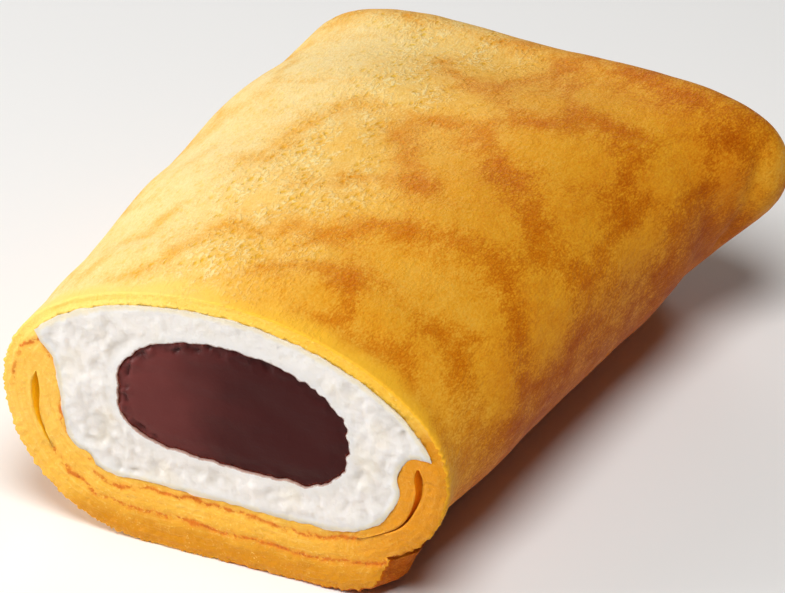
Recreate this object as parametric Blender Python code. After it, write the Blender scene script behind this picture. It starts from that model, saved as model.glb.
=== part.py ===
"""A rolled crepe, cut open at one end: one folded sheet round whipped cream and a dark paste core.

Metres, +Z up. X runs across the roll, the cut face looks along -Y and the closed end lies at +Y.
The origin is on the underside, midway along the roll. Sections of the roll are drawn in X and Z,
and a share is how far along the roll a section stands, from 0 at the cut to 1 at the closed end.
"""

import math

import bmesh
import bpy
from mathutils import Vector

# The roll, with its section as it is at the cut
ROLL_LENGTH = 0.0970
HALF_WIDTH = 0.0313
CREST_HEIGHT = 0.0366
WAIST_HEIGHT = 0.0190  # where the sides stand out furthest
PLY = 0.0016  # one layer of crepe
STACK_HEIGHT = 0.0090  # the layers folded together under the cream
SEAM_HEIGHT = 0.0045  # the seam between the upper layers and the flap below them
ROLL_MIDDLE = (0.0010, 0.0165)
CLEARANCE = 0.0003  # between one solid and the next

# The closed end: a round rim and a wall that domes a little
END_ROUND = 0.0090
END_SHRINK_SPAN = 0.0188  # the mean half size of the section that the rim draws in
END_DOME = 0.0006
END_DOME_SIZE = 0.32

# How the roll swells: (share of the length, multiple of the size at the cut)
LEFT_SWELL = ((0.0, 1.0), (0.14, 1.015), (0.41, 1.060), (0.68, 1.10), (0.91, 1.075))
RIGHT_SWELL = ((0.0, 1.0), (0.06, 0.965), (0.22, 1.010), (0.55, 1.020), (0.73, 1.070), (0.90, 1.22))
CREST_SWELL = ((0.0, 1.0), (0.12, 1.038), (0.31, 1.044), (0.62, 1.010), (0.89, 0.920))
LEFT_LIFT = ((0.0, 0.0), (0.20, 0.01), (0.42, 0.02), (0.62, 0.065), (0.76, 0.060), (0.90, 0.15))
LIFT_BEND = 0.8
FILL_SWELL = 1.06  # as far as the filling and the folds follow that swelling

# How square the arch is on either side of its crest, 2 being an ellipse: (share, power)
LEFT_POWER = ((0.0, 2.12), (0.14, 2.12), (0.37, 2.5), (0.62, 2.7), (0.91, 2.9))
RIGHT_POWER = ((0.0, 1.88), (0.14, 2.05), (0.37, 2.5), (0.62, 2.6), (0.91, 3.2))

# The lower outline: a round on the left, the flap's nose on the right, and the right side's heel above it
LEFT_FOOT = -0.0100
LEFT_HEEL_BEND = 0.94
FLAP_NOSE = (
    (0.0144, 0.0),
    (0.0180, 0.0006),
    (0.0209, 0.0017),
    (0.0219, 0.0030),
    (0.0227, 0.0050),
    (0.0238, 0.0066),
)
FLAP_REACH = ((0.0, 0.0), (0.045, 0.0018), (0.10, 0.0008), (0.25, -0.0006), (1.0, -0.0012))
RIGHT_HIP = 0.0190
RIGHT_WAIST = ((0.0, WAIST_HEIGHT), (0.60, WAIST_HEIGHT), (0.90, 0.0230))
HEEL_HEIGHT = ((0.0, 0.0060), (0.07, 0.0070), (0.41, 0.0066), (0.78, 0.0062), (0.90, 0.0080))
HEEL_POWER = ((0.0, 2.0), (0.60, 2.0), (0.90, 1.5))

# Gaps between the folds at the cut: (across, up, width) along the middle of each
LEFT_GAP = (
    (-0.0263, 0.0211, 0.0002),
    (-0.0264, 0.0188, 0.0012),
    (-0.0262, 0.0150, 0.0007),
    (-0.0243, 0.0107, 0.0006),
    (-0.0185, 0.0060, 0.0004),
    (-0.0080, SEAM_HEIGHT, 0.0004),
    (0.0130, SEAM_HEIGHT, 0.0004),
    (0.0236, 0.0070, 0.0006),
    (0.0290, 0.0086, 0.0012),
)
RIGHT_GAP = (
    (0.0272, 0.0205, 0.0003),
    (0.0272, 0.0188, 0.0017),
    (0.0271, 0.0160, 0.0006),
    (0.0251, 0.0121, 0.0005),
    (0.0180, 0.0083, 0.0004),
    (0.0070, 0.0075, 0.0004),
    (-0.0080, 0.0080, 0.0004),
    (-0.0158, 0.0075, 0.0004),
    (-0.0166, 0.0090, 0.0005),
)
GAP_END = 0.860

# The cream at the cut: its tips, in degrees up the arch, and its edge between them over the folds
CREAM_TIP_RIGHT = 12.0
CREAM_TIP_LEFT = 151.0
CREAM_FLOOR = (
    (0.0288, 0.0221),
    (0.0262, 0.0219),
    (0.0244, 0.0190),
    (0.0243, 0.0150),
    (0.0198, 0.0101),
    (0.0125, STACK_HEIGHT),
    (-0.0060, 0.0092),
    (-0.0165, 0.0093),
    (-0.0186, 0.0112),
    (-0.0216, 0.0128),
    (-0.0226, 0.0175),
    (-0.0234, 0.0233),
    (-0.0254, 0.0256),
)
CREAM_END = 0.920
CREAM_TAPER = ((0.04, 1.0), (0.015, 0.95), (0.0, 0.82))  # (share short of its end, size)

# The paste core is an oval, flattened below
CORE_CENTRE = (0.0016, 0.0223)
CORE_REACH = 0.0162
CORE_RISE = 0.0087
CORE_DROP = 0.0080
CORE_TOP_POWER = 2.1
CORE_BASE_POWER = 3.3
CORE_TURN = -1.5  # degrees
CORE_END = 0.860
CORE_TAPER = ((0.03, 1.0), (0.008, 0.92), (0.0, 0.75))

# Fineness of the meshes
ARCH_STEPS = 30
HEEL_STEPS = 9
ROLL_STATIONS = 15
STATION_CROWDING = 1.15  # above 1, stations crowd towards the cut
ROUND_STATIONS = 5
FILL_STATIONS = 6
GAP_STEPS = 30
FLOOR_STEPS = 34
CORE_STEPS = 36
CURVE_STEPS = 12
CUTTER_OVERRUN = -0.02  # share at which a cutter starts, clear of the cut face
SHARP_ANGLE = 35.0

CREPE_COLOUR = (0.86, 0.50, 0.11)
CREAM_COLOUR = (0.90, 0.88, 0.83)
PASTE_COLOUR = (0.085, 0.018, 0.015)


def ease(t):
    """A smooth step from 0 to 1."""
    t = min(1.0, max(0.0, t))
    return t * t * (3.0 - 2.0 * t)


def along(share, knots):
    """The value at a share of the length, eased from one (share, value) knot to the next."""
    for (start, before), (end, after) in zip(knots, knots[1:]):
        if share <= end:
            return before + (after - before) * ease((share - start) / (end - start))
    return knots[-1][1]


def smooth_line(points, steps):
    """Evenly spaced points on a Catmull-Rom curve through a few points."""
    points = [Vector(p) for p in points]
    padded = [2 * points[0] - points[1], *points, 2 * points[-1] - points[-2]]
    fine = []
    for a, b, c, d in zip(padded, padded[1:], padded[2:], padded[3:]):
        slope, curve, twist = c - a, 2 * a - 5 * b + 4 * c - d, 3 * b - a - 3 * c + d
        for k in range(CURVE_STEPS):
            t = k / CURVE_STEPS
            fine.append(b + 0.5 * (slope * t + curve * t**2 + twist * t**3))
    fine.append(points[-1])
    run = [0.0]
    for p, q in zip(fine, fine[1:]):
        run.append(run[-1] + (q - p).length)
    line, at = [], 0
    for k in range(steps + 1):
        target = run[-1] * k / steps
        while at < len(fine) - 2 and run[at + 1] < target:
            at += 1
        line.append(fine[at].lerp(fine[at + 1], (target - run[at]) / (run[at + 1] - run[at])))
    return line


def swell(share, x, inside=False):
    """The multiple of its size at the cut that the roll, or what it holds, has on one side."""
    size = along(share, RIGHT_SWELL if x > 0 else LEFT_SWELL)
    return min(size, FILL_SWELL) if inside else size


def arch_point(share, angle, inset=0.0):
    """A point of the roll's top, by angle in degrees from its right side over the crest to its left."""
    turn = math.radians(angle)
    across, up = math.cos(turn), math.sin(turn)
    bend = 2.0 / along(share, RIGHT_POWER if across > 0 else LEFT_POWER)
    half = HALF_WIDTH * swell(share, across, inset > 0) - inset
    waist = along(share, RIGHT_WAIST) if across > 0 else WAIST_HEIGHT
    rise = CREST_HEIGHT * along(share, CREST_SWELL) - waist - inset
    lift = HALF_WIDTH * along(share, LEFT_LIFT) * max(0.0, -across) * up**LIFT_BEND
    return (half * math.copysign(abs(across) ** bend, across), waist + rise * up**bend + lift)


def outer_section(share):
    """The roll's outline: over the top, round the left side, along the base and up the right side."""
    points = [arch_point(share, 180.0 * k / ARCH_STEPS) for k in range(ARCH_STEPS + 1)]
    left = HALF_WIDTH * swell(share, -1) + LEFT_FOOT
    for k in range(1, HEEL_STEPS):
        turn = math.pi / 2 * k / HEEL_STEPS
        x = LEFT_FOOT - left * math.cos(turn) ** LEFT_HEEL_BEND
        points.append((x, WAIST_HEIGHT * (1 - math.sin(turn))))
    points.append((LEFT_FOOT, 0.0))
    points.append(FLAP_NOSE[0])
    points += [(x + along(share, FLAP_REACH), z) for x, z in FLAP_NOSE[1:]]
    right = HALF_WIDTH * swell(share, 1) - RIGHT_HIP
    waist = along(share, RIGHT_WAIST)
    bend = 2.0 / along(share, HEEL_POWER)
    for k in range(HEEL_STEPS - 2, 0, -1):
        turn = math.pi / 2 * k / HEEL_STEPS
        drop = (waist - along(share, HEEL_HEIGHT)) * math.sin(turn) ** bend
        points.append((RIGHT_HIP + right * math.cos(turn) ** bend, waist - drop))
    return points


def carried(points, share):
    """Points of the cut face, stretched with the roll to the section at that share."""
    rise = (CREST_HEIGHT * along(share, CREST_SWELL) - STACK_HEIGHT) / (CREST_HEIGHT - STACK_HEIGHT)
    return [(x * swell(share, x, True), z + max(0.0, z - STACK_HEIGHT) * (rise - 1.0)) for x, z in points]


def placed(section, share):
    """A section as points in space, at that share of the length."""
    return [Vector((x, (share - 0.5) * ROLL_LENGTH, z)) for x, z in section]


def shrunk(section, size, centre):
    """A section drawn in towards a point."""
    return [(centre[0] + (x - centre[0]) * size, centre[1] + (z - centre[1]) * size) for x, z in section]


def inset_by(section, distance):
    """A section that runs anticlockwise, moved inwards by a distance."""
    points = [Vector(p) for p in section]
    moved = []
    for before, here, after in zip(points[-1:] + points[:-1], points, points[1:] + points[:1]):
        arriving, leaving = (here - before).normalized(), (after - here).normalized()
        inward = Vector((-(arriving.y + leaving.y), arriving.x + leaving.x)).normalized()
        mitre = max(0.5, inward.dot(Vector((-arriving.y, arriving.x))))
        moved.append(tuple(here + inward * distance / mitre))
    return moved


def loft(name, sections):
    """One closed solid through sections that have the same number of points."""
    bm = bmesh.new()
    ring = [bm.verts.new(p) for p in sections[0]]
    edges = list(bm.faces.new(ring).edges)
    for section in sections[1:]:
        grown = bmesh.ops.extrude_edge_only(bm, edges=edges)["geom"]
        edges = [g for g in grown if isinstance(g, bmesh.types.BMEdge)]
        fresh = {g for g in grown if isinstance(g, bmesh.types.BMVert)}
        ring = [next(e.other_vert(v) for e in v.link_edges if e.other_vert(v) in fresh) for v in ring]
        for vert, point in zip(ring, section):
            vert.co = point
    bm.faces.new(ring)
    bmesh.ops.recalc_face_normals(bm, faces=bm.faces)
    mesh = bpy.data.meshes.new(name)
    bm.to_mesh(mesh)
    bm.free()
    made = bpy.data.objects.new(name, mesh)
    bpy.context.scene.collection.objects.link(made)
    return made


def plain_finish(name, colour, roughness):
    """A plain material."""
    made = bpy.data.materials.new(name)
    made.use_nodes = True
    shader = made.node_tree.nodes["Principled BSDF"]
    shader.inputs["Base Color"].default_value = (*colour, 1.0)
    shader.inputs["Roughness"].default_value = roughness
    shader.inputs["Metallic"].default_value = 0.0
    return made


def dress(piece, finish, parent):
    """Gives a piece its finish, smooth shading with sharp rims, and its parent."""
    piece.data.materials.append(finish)
    piece.data.shade_smooth()
    piece.data.set_sharp_from_angle(angle=math.radians(SHARP_ANGLE))
    piece.parent = parent


def cut_by(piece, cutter):
    """Cuts a guide shape out of a piece."""
    cutter.hide_render = True
    cutter.display_type = "WIRE"
    cut = piece.modifiers.new("cut_" + cutter.name, "BOOLEAN")
    cut.operation = "DIFFERENCE"
    cut.solver = "EXACT"
    cut.object = cutter


def crepe_body():
    """The rolled sheet as one block, closed at its far end."""
    body_end = 1.0 - (END_ROUND + END_DOME) / ROLL_LENGTH
    sections = []
    for k in range(ROLL_STATIONS + 1):
        share = body_end * (k / ROLL_STATIONS) ** STATION_CROWDING
        sections.append(placed(outer_section(share), share))
    last = outer_section(body_end)
    for k in range(1, ROUND_STATIONS + 1):
        turn = math.pi / 2 * k / ROUND_STATIONS
        size = 1.0 - END_ROUND * (1.0 - math.cos(turn)) / END_SHRINK_SPAN
        share = body_end + END_ROUND * math.sin(turn) / ROLL_LENGTH
        sections.append(placed(shrunk(last, size, ROLL_MIDDLE), share))
    sections.append(placed(shrunk(last, END_DOME_SIZE, ROLL_MIDDLE), 1.0))
    return loft("crepe", sections)


def gap_section(gap):
    """The outline of a fold's gap: out along one wall and back along the other."""
    line = smooth_line(gap, GAP_STEPS)
    right_wall, left_wall = [], []
    for k, here in enumerate(line):
        before, after = line[max(k - 1, 0)], line[min(k + 1, GAP_STEPS)]
        run = Vector((after.x - before.x, after.y - before.y)).normalized()
        right_wall.append((here.x + run.y * here.z / 2, here.y - run.x * here.z / 2))
        left_wall.append((here.x - run.y * here.z / 2, here.y + run.x * here.z / 2))
    return right_wall + left_wall[::-1]


def gap_cutter(name, gap):
    """The gap of a fold, run from in front of the cut face to near the closed end."""
    section = gap_section(gap)
    sections = [placed(section, CUTTER_OVERRUN)]
    for k in range(FILL_STATIONS + 1):
        share = GAP_END * k / FILL_STATIONS
        sections.append(placed(carried(section, share), share))
    return loft(name, sections)


def cream_section(share, inset):
    """The outline of the cream: over the arch under the outer layer, then back over the folds."""
    span = CREAM_TIP_LEFT - CREAM_TIP_RIGHT
    arch = [arch_point(share, CREAM_TIP_RIGHT + span * k / ARCH_STEPS, PLY) for k in range(ARCH_STEPS + 1)]
    floor = carried([tuple(p) for p in smooth_line(CREAM_FLOOR, FLOOR_STEPS)], share)
    return inset_by(arch + floor[:0:-1], inset)


def filling(name, inset, front, end):
    """The cream's shape, kept inset from its hollow, with its far end drawn in."""
    sections = []
    straight = end - CREAM_TAPER[0][0]
    for k in range(FILL_STATIONS):
        share = front + (straight - front) * k / FILL_STATIONS
        sections.append(placed(cream_section(max(share, 0.0), inset), share))
    for short, size in CREAM_TAPER:
        sections.append(placed(shrunk(cream_section(straight, inset), size, CORE_CENTRE), end - short))
    return loft(name, sections)


def core_section(grow):
    """The oval of the paste core, grown by a clearance."""
    turn = math.radians(CORE_TURN)
    points = []
    for k in range(CORE_STEPS):
        angle = 2.0 * math.pi * k / CORE_STEPS
        across, up = math.cos(angle), math.sin(angle)
        bend = 2.0 / (CORE_TOP_POWER if up > 0 else CORE_BASE_POWER)
        x = (CORE_REACH + grow) * math.copysign(abs(across) ** bend, across)
        z = ((CORE_RISE if up > 0 else CORE_DROP) + grow) * math.copysign(abs(up) ** bend, up)
        points.append(
            (
                CORE_CENTRE[0] + x * math.cos(turn) - z * math.sin(turn),
                CORE_CENTRE[1] + x * math.sin(turn) + z * math.cos(turn),
            )
        )
    return points


def core_solid(name, grow, front, end):
    """The paste core, or the bore that holds it, with a blunt far end."""
    sections = [placed(core_section(grow), front)]
    for short, size in CORE_TAPER:
        sections.append(placed(shrunk(core_section(grow), size, CORE_CENTRE), end - short))
    return loft(name, sections)


def build():
    """Makes the sheet, its filling and its core."""
    for old in list(bpy.data.objects):
        bpy.data.objects.remove(old, do_unlink=True)
    roll = bpy.data.objects.new("roll", None)
    bpy.context.scene.collection.objects.link(roll)
    gap = CLEARANCE / ROLL_LENGTH

    crepe = crepe_body()
    cut_by(crepe, filling("cream_hollow", 0.0, CUTTER_OVERRUN, CREAM_END))
    cut_by(crepe, gap_cutter("right_gap", RIGHT_GAP))
    cut_by(crepe, gap_cutter("left_gap", LEFT_GAP))
    dress(crepe, plain_finish("crepe", CREPE_COLOUR, 0.75), roll)

    cream = filling("cream", CLEARANCE, 0.0, CREAM_END - gap)
    cut_by(cream, core_solid("core_bore", CLEARANCE, CUTTER_OVERRUN, CORE_END + gap))
    dress(cream, plain_finish("whipped_cream", CREAM_COLOUR, 0.5), roll)

    paste = core_solid("paste_core", 0.0, 0.0, CORE_END)
    dress(paste, plain_finish("paste", PASTE_COLOUR, 0.3), roll)


build()
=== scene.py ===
"""A rolled crepe, cut open at one end: a browned, spongy sheet round whipped cream and a dark paste core.

The sheet, the cream and the core are each one closed mesh that stands for the CAD node of the same
form. Every section of the roll is drawn in X and Z, and a share is how far along the roll it stands,
from 0 at the cut to 1 at the closed end. Marks on the skin are placed by their distance from the cut
and by their distance round the roll from its crest, to the right above 0, both in millimetres.
"""

import logging
import math
from collections.abc import Sequence
from dataclasses import dataclass, field
from enum import Enum
from typing import Any

import bmesh
import bpy
import numpy as np
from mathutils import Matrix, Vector, kdtree, noise


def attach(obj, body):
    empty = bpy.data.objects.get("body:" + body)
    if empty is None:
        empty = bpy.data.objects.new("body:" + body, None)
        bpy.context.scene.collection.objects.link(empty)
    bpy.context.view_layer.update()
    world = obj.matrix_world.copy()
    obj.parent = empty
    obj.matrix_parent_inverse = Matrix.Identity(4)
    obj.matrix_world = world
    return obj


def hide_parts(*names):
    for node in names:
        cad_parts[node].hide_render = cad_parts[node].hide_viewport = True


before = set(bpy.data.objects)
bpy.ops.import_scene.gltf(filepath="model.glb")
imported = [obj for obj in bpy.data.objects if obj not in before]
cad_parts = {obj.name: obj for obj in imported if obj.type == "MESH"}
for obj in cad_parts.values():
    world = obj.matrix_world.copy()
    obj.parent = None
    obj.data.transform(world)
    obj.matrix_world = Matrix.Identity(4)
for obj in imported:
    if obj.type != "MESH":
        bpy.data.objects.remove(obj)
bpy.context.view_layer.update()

LOG = logging.getLogger("crepe")
MM = 0.001

Point2 = tuple[float, float]
Knots = tuple[tuple[float, float], ...]
Colour = tuple[float, float, float]


class Zone(Enum):
    """The two surfaces of the sheet, in the order of its material slots."""

    SKIN = 0
    CRUMB = 1


class Cell(Enum):
    """What a cell pattern measures, by Blender's own words for it."""

    CENTRE = "F1"
    EDGE = "DISTANCE_TO_EDGE"


class Layer(Enum):
    """The vertex attributes that the finishes read."""

    BROWNED = "browned"
    TONE_SHEEN_SHADE = "warmth"
    LIP = "lip"
    SEAM = "seam"
    TOAST = "toast"
    HOLLOW = "hollow"
    RUN = "run"
    DEPTH = "depth"


def ease(t: float) -> float:
    """A smooth step from 0 to 1."""
    t = min(1.0, max(0.0, t))
    return t * t * (3.0 - 2.0 * t)


def eased(values: np.ndarray, low: float, high: float) -> np.ndarray:
    """A smooth step from 0 at low to 1 at high, for a whole array."""
    t = np.clip((values - low) / (high - low), 0.0, 1.0)
    return t * t * (3.0 - 2.0 * t)


def along(share: float, knots: Knots) -> float:
    """Finds the value at a share of the length.

    Args:
        share: How far along the roll, from 0 to 1.
        knots: (share, value) pairs in order.

    Returns:
        The value, eased from one knot to the next.
    """
    for (start, before), (end, after) in zip(knots, knots[1:]):
        if share <= end:
            return before + (after - before) * ease((share - start) / (end - start))
    return knots[-1][1]


def smooth_line(points: Sequence[Sequence[float]], steps: int, fineness: int = 12) -> list[Vector]:
    """Draws a Catmull-Rom curve through a few points.

    Args:
        points: The points that it passes through.
        steps: How many even steps it is returned in.
        fineness: Steps between two given points while its length is measured.

    Returns:
        The steps + 1 points of the curve.
    """
    given = [Vector(p) for p in points]
    padded = [2 * given[0] - given[1], *given, 2 * given[-1] - given[-2]]
    fine = []
    for a, b, c, d in zip(padded, padded[1:], padded[2:], padded[3:]):
        slope, curve, twist = c - a, 2 * a - 5 * b + 4 * c - d, 3 * b - a - 3 * c + d
        for k in range(fineness):
            t = k / fineness
            fine.append(b + 0.5 * (slope * t + curve * t**2 + twist * t**3))
    fine.append(given[-1])
    run = [0.0]
    for p, q in zip(fine, fine[1:]):
        run.append(run[-1] + (q - p).length)
    line, at = [], 0
    for k in range(steps + 1):
        target = run[-1] * k / steps
        while at < len(fine) - 2 and run[at + 1] < target:
            at += 1
        line.append(fine[at].lerp(fine[at + 1], (target - run[at]) / (run[at + 1] - run[at])))
    return line


def shrunk(section: Sequence[Point2], size: float, centre: Point2) -> list[Point2]:
    """A section drawn in towards a point."""
    return [(centre[0] + (x - centre[0]) * size, centre[1] + (z - centre[1]) * size) for x, z in section]


def inset_by(section: Sequence[Point2], distance: float | Sequence[float]) -> list[Point2]:
    """Moves the outline of a section inwards.

    Args:
        section: The outline, anticlockwise.
        distance: How far it moves, once for all of it or for each point.

    Returns:
        The outline with the same number of points.
    """
    points = [Vector(p) for p in section]
    far = [distance] * len(points) if isinstance(distance, float) else distance
    moved = []
    for before, here, after, by in zip(points[-1:] + points[:-1], points, points[1:] + points[:1], far):
        arriving, leaving = (here - before).normalized(), (after - here).normalized()
        inward = Vector((-(arriving.y + leaving.y), arriving.x + leaving.x)).normalized()
        mitre = max(0.5, inward.dot(Vector((-arriving.y, arriving.x))))
        moved.append(tuple(here + inward * by / mitre))
    return moved


def girth_of(section: Sequence[Point2]) -> np.ndarray:
    """The distance along an outline from its first point, in metres."""
    points = np.array(section)
    return np.concatenate([[0.0], np.cumsum(np.linalg.norm(np.diff(points, axis=0), axis=1))])


def field_of(points: np.ndarray, size: float, seed: float = 0.0) -> np.ndarray:
    """Smooth noise about 0 at many points.

    Args:
        points: The places, in metres.
        size: The width of its lumps, in metres.
        seed: Shifts it to another part of the noise.

    Returns:
        One number a point, mostly from -0.7 to 0.7.
    """
    shift = Vector((seed * 3.1, seed * 5.3, seed * 7.7))
    return np.array([noise.noise(Vector(p) / size + shift) for p in points])


def cell_field(points: np.ndarray, size: float, seed: float = 0.0) -> tuple[np.ndarray, np.ndarray]:
    """Measures a pattern of cells at many points.

    Args:
        points: The places, in metres.
        size: The width of a cell, in metres.
        seed: Shifts it to another part of the pattern.

    Returns:
        The distance to the nearest cell's middle and how much further the next one is, in cell widths.
    """
    shift = Vector((seed * 3.1, seed * 5.3, seed * 7.7))
    found = [noise.voronoi(Vector(p) / size + shift)[0] for p in points]
    near = np.array([f[0] for f in found])
    gap = np.array([f[1] - f[0] for f in found])
    return near, gap


def distance_to_path(points: np.ndarray, path: Sequence[Point2]) -> np.ndarray:
    """Measures how far each point is from a line of straight stretches.

    Args:
        points: The points, in the units of the line.
        path: The line's corners in order.

    Returns:
        One distance a point.
    """
    best = np.full(len(points), np.inf)
    for start, end in zip(path, path[1:]):
        a, run = np.array(start), np.array(end) - np.array(start)
        t = np.clip(((points - a) @ run) / max(float(run @ run), 1e-12), 0.0, 1.0)
        best = np.minimum(best, np.linalg.norm(points - (a + t[:, None] * run), axis=1))
    return best


def inside_outline(x: np.ndarray, z: np.ndarray, outline: Sequence[Point2]) -> np.ndarray:
    """Finds which of many points an outline goes round.

    Args:
        x: The points, across.
        z: The points, up.
        outline: The outline.

    Returns:
        True for each point inside.
    """
    inside = np.zeros(x.shape, bool)
    for (ax, az), (bx, bz) in zip(outline, [*outline[1:], outline[0]]):
        if az == bz:
            continue
        crosses = ((az > z) != (bz > z)) & (x < (bx - ax) * (z - az) / (bz - az) + ax)
        inside ^= crosses
    return inside


def tint(red: int, green: int, blue: int) -> Colour:
    """A colour from its 0 to 255 values on a screen, as the shader reads it."""
    shares = [c / 255.0 for c in (red, green, blue)]
    return tuple(s / 12.92 if s <= 0.04045 else ((s + 0.055) / 1.055) ** 2.4 for s in shares)


@dataclass(frozen=True)
class RollForm:
    """The shape of the whole roll, with the sizes of its section at the cut, in metres."""

    length: float = 0.0970
    half_width: float = 0.0313
    crest_height: float = 0.0366
    waist_height: float = 0.0190
    ply: float = 0.0016
    stack_height: float = 0.0090
    middle: Point2 = (0.0010, 0.0165)
    end_round: float = 0.0090
    end_shrink_span: float = 0.0188
    end_dome: float = 0.0006
    left_swell: Knots = ((0.0, 1.0), (0.14, 1.015), (0.41, 1.060), (0.68, 1.10), (0.91, 1.075))
    right_swell: Knots = (
        (0.0, 1.0),
        (0.06, 0.965),
        (0.22, 1.010),
        (0.55, 1.020),
        (0.73, 1.070),
        (0.90, 1.22),
    )
    crest_swell: Knots = ((0.0, 1.0), (0.12, 1.038), (0.31, 1.044), (0.62, 1.010), (0.89, 0.920))
    left_lift: Knots = ((0.0, 0.0), (0.20, 0.01), (0.42, 0.02), (0.62, 0.065), (0.76, 0.060), (0.90, 0.15))
    lift_bend: float = 0.8
    fill_swell: float = 1.06
    left_power: Knots = ((0.0, 2.12), (0.14, 2.12), (0.37, 2.5), (0.62, 2.7), (0.91, 2.9))
    right_power: Knots = ((0.0, 1.88), (0.14, 2.05), (0.37, 2.5), (0.62, 2.6), (0.91, 3.2))
    left_foot: float = -0.0100
    left_heel_bend: float = 0.94
    flap_nose: Knots = (
        (0.0144, 0.0),
        (0.0180, 0.0006),
        (0.0209, 0.0017),
        (0.0219, 0.0030),
        (0.0227, 0.0050),
        (0.0238, 0.0066),
    )
    flap_reach: Knots = ((0.0, 0.0), (0.045, 0.0018), (0.10, 0.0008), (0.25, -0.0006), (1.0, -0.0012))
    right_hip: float = 0.0190
    right_waist: Knots = ((0.0, 0.0190), (0.60, 0.0190), (0.90, 0.0230))
    heel_height: Knots = ((0.0, 0.0060), (0.07, 0.0070), (0.41, 0.0066), (0.78, 0.0062), (0.90, 0.0080))
    heel_power: Knots = ((0.0, 2.0), (0.60, 2.0), (0.90, 1.5))
    cream_tip_right: float = 12.0
    cream_tip_left: float = 151.0
    cream_floor: Knots = (
        (0.0288, 0.0221),
        (0.0262, 0.0219),
        (0.0244, 0.0190),
        (0.0243, 0.0150),
        (0.0198, 0.0101),
        (0.0125, 0.0090),
        (-0.0060, 0.0092),
        (-0.0165, 0.0093),
        (-0.0186, 0.0112),
        (-0.0216, 0.0128),
        (-0.0226, 0.0175),
        (-0.0234, 0.0233),
        (-0.0254, 0.0256),
    )
    core_centre: Point2 = (0.0016, 0.0223)
    core_reach: float = 0.0162
    core_rise: float = 0.0087
    core_drop: float = 0.0080
    core_top_power: float = 2.1
    core_base_power: float = 3.3
    core_turn: float = -1.5
    arch_steps: int = 330
    heel_steps: int = 110
    base_steps: int = 84
    nose_steps: int = 30
    hip_steps: int = 56
    hip_start: float = 70.0

    @property
    def body_end(self) -> float:
        """The share at which the closed end starts to round off."""
        return 1.0 - (self.end_round + self.end_dome) / self.length

    def depth_at(self, share: float) -> float:
        """The place along Y of a share of the length."""
        return (share - 0.5) * self.length

    def swell(self, share: float, x: float, inside: bool = False) -> float:
        """How many times its size at the cut the roll has on one side.

        Args:
            share: How far along the roll.
            x: On the right above 0, on the left below it.
            inside: For what the roll holds, which swells less.

        Returns:
            The multiple.
        """
        size = along(share, self.right_swell if x > 0 else self.left_swell)
        return min(size, self.fill_swell) if inside else size

    def arch_point(self, share: float, angle: float, inset: float = 0.0) -> Point2:
        """Finds a point of the roll's top.

        Args:
            share: How far along the roll.
            angle: In degrees from the right side over the crest to the left side.
            inset: How far under the skin.

        Returns:
            The point, across and up.
        """
        turn = math.radians(angle)
        across, up = math.cos(turn), math.sin(turn)
        bend = 2.0 / along(share, self.right_power if across > 0 else self.left_power)
        half = self.half_width * self.swell(share, across, inset > 0) - inset
        waist = along(share, self.right_waist) if across > 0 else self.waist_height
        rise = self.crest_height * along(share, self.crest_swell) - waist - inset
        lift = self.half_width * along(share, self.left_lift) * max(0.0, -across)
        lift *= max(up, 0.0) ** self.lift_bend
        x = half * math.copysign(abs(across) ** bend, across)
        return (x, waist + rise * abs(up) ** bend + lift)

    def outer_section(self, share: float) -> list[Point2]:
        """Draws the roll's outline: over the top, round the left side, along the base, up the right side.

        Args:
            share: How far along the roll.

        Returns:
            The same number of points at every share.
        """
        points = [self.arch_point(share, 180.0 * k / self.arch_steps) for k in range(self.arch_steps + 1)]
        left = self.half_width * self.swell(share, -1) + self.left_foot
        for k in range(1, self.heel_steps):
            turn = math.pi / 2 * k / self.heel_steps
            x = self.left_foot - left * math.cos(turn) ** self.left_heel_bend
            points.append((x, self.waist_height * (1 - math.sin(turn))))
        reach = along(share, self.flap_reach)
        nose = [tuple(p) for p in smooth_line(self.flap_nose, self.nose_steps)]
        start = nose[0][0]
        for k in range(self.base_steps):
            points.append((self.left_foot + (start - self.left_foot) * k / self.base_steps, 0.0))
        points.append(nose[0])
        points += [(x + reach * ease(k / 8), z) for k, (x, z) in enumerate(nose[1:], 1)]
        right = self.half_width * self.swell(share, 1) - self.right_hip
        waist = along(share, self.right_waist)
        bend = 2.0 / along(share, self.heel_power)
        for k in range(self.hip_steps, 0, -1):
            turn = math.radians(self.hip_start) * k / self.hip_steps
            drop = (waist - along(share, self.heel_height)) * math.sin(turn) ** bend
            points.append((self.right_hip + right * math.cos(turn) ** bend, waist - drop))
        return points

    def carried(self, points: Sequence[Point2], share: float) -> list[Point2]:
        """Points of the cut face, stretched with the roll to the section at that share."""
        rise = self.crest_height * along(share, self.crest_swell) - self.stack_height
        rise /= self.crest_height - self.stack_height
        above = [max(0.0, z - self.stack_height) * (rise - 1.0) for _, z in points]
        return [(x * self.swell(share, x, True), z + more) for (x, z), more in zip(points, above)]

    def cream_section(self, share: float, arch_steps: int = 220, floor_steps: int = 200) -> list[Point2]:
        """Draws the outline of the cream: over the arch under the outer layer, then back over the folds.

        Args:
            share: How far along the roll.
            arch_steps: Steps over the arch.
            floor_steps: Steps back over the folds.

        Returns:
            The outline, anticlockwise.
        """
        span = self.cream_tip_left - self.cream_tip_right
        arch = []
        for k in range(arch_steps + 1):
            arch.append(self.arch_point(share, self.cream_tip_right + span * k / arch_steps, self.ply))
        floor = self.carried([tuple(p) for p in smooth_line(self.cream_floor, floor_steps)], share)
        return arch + floor[:0:-1]

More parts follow.
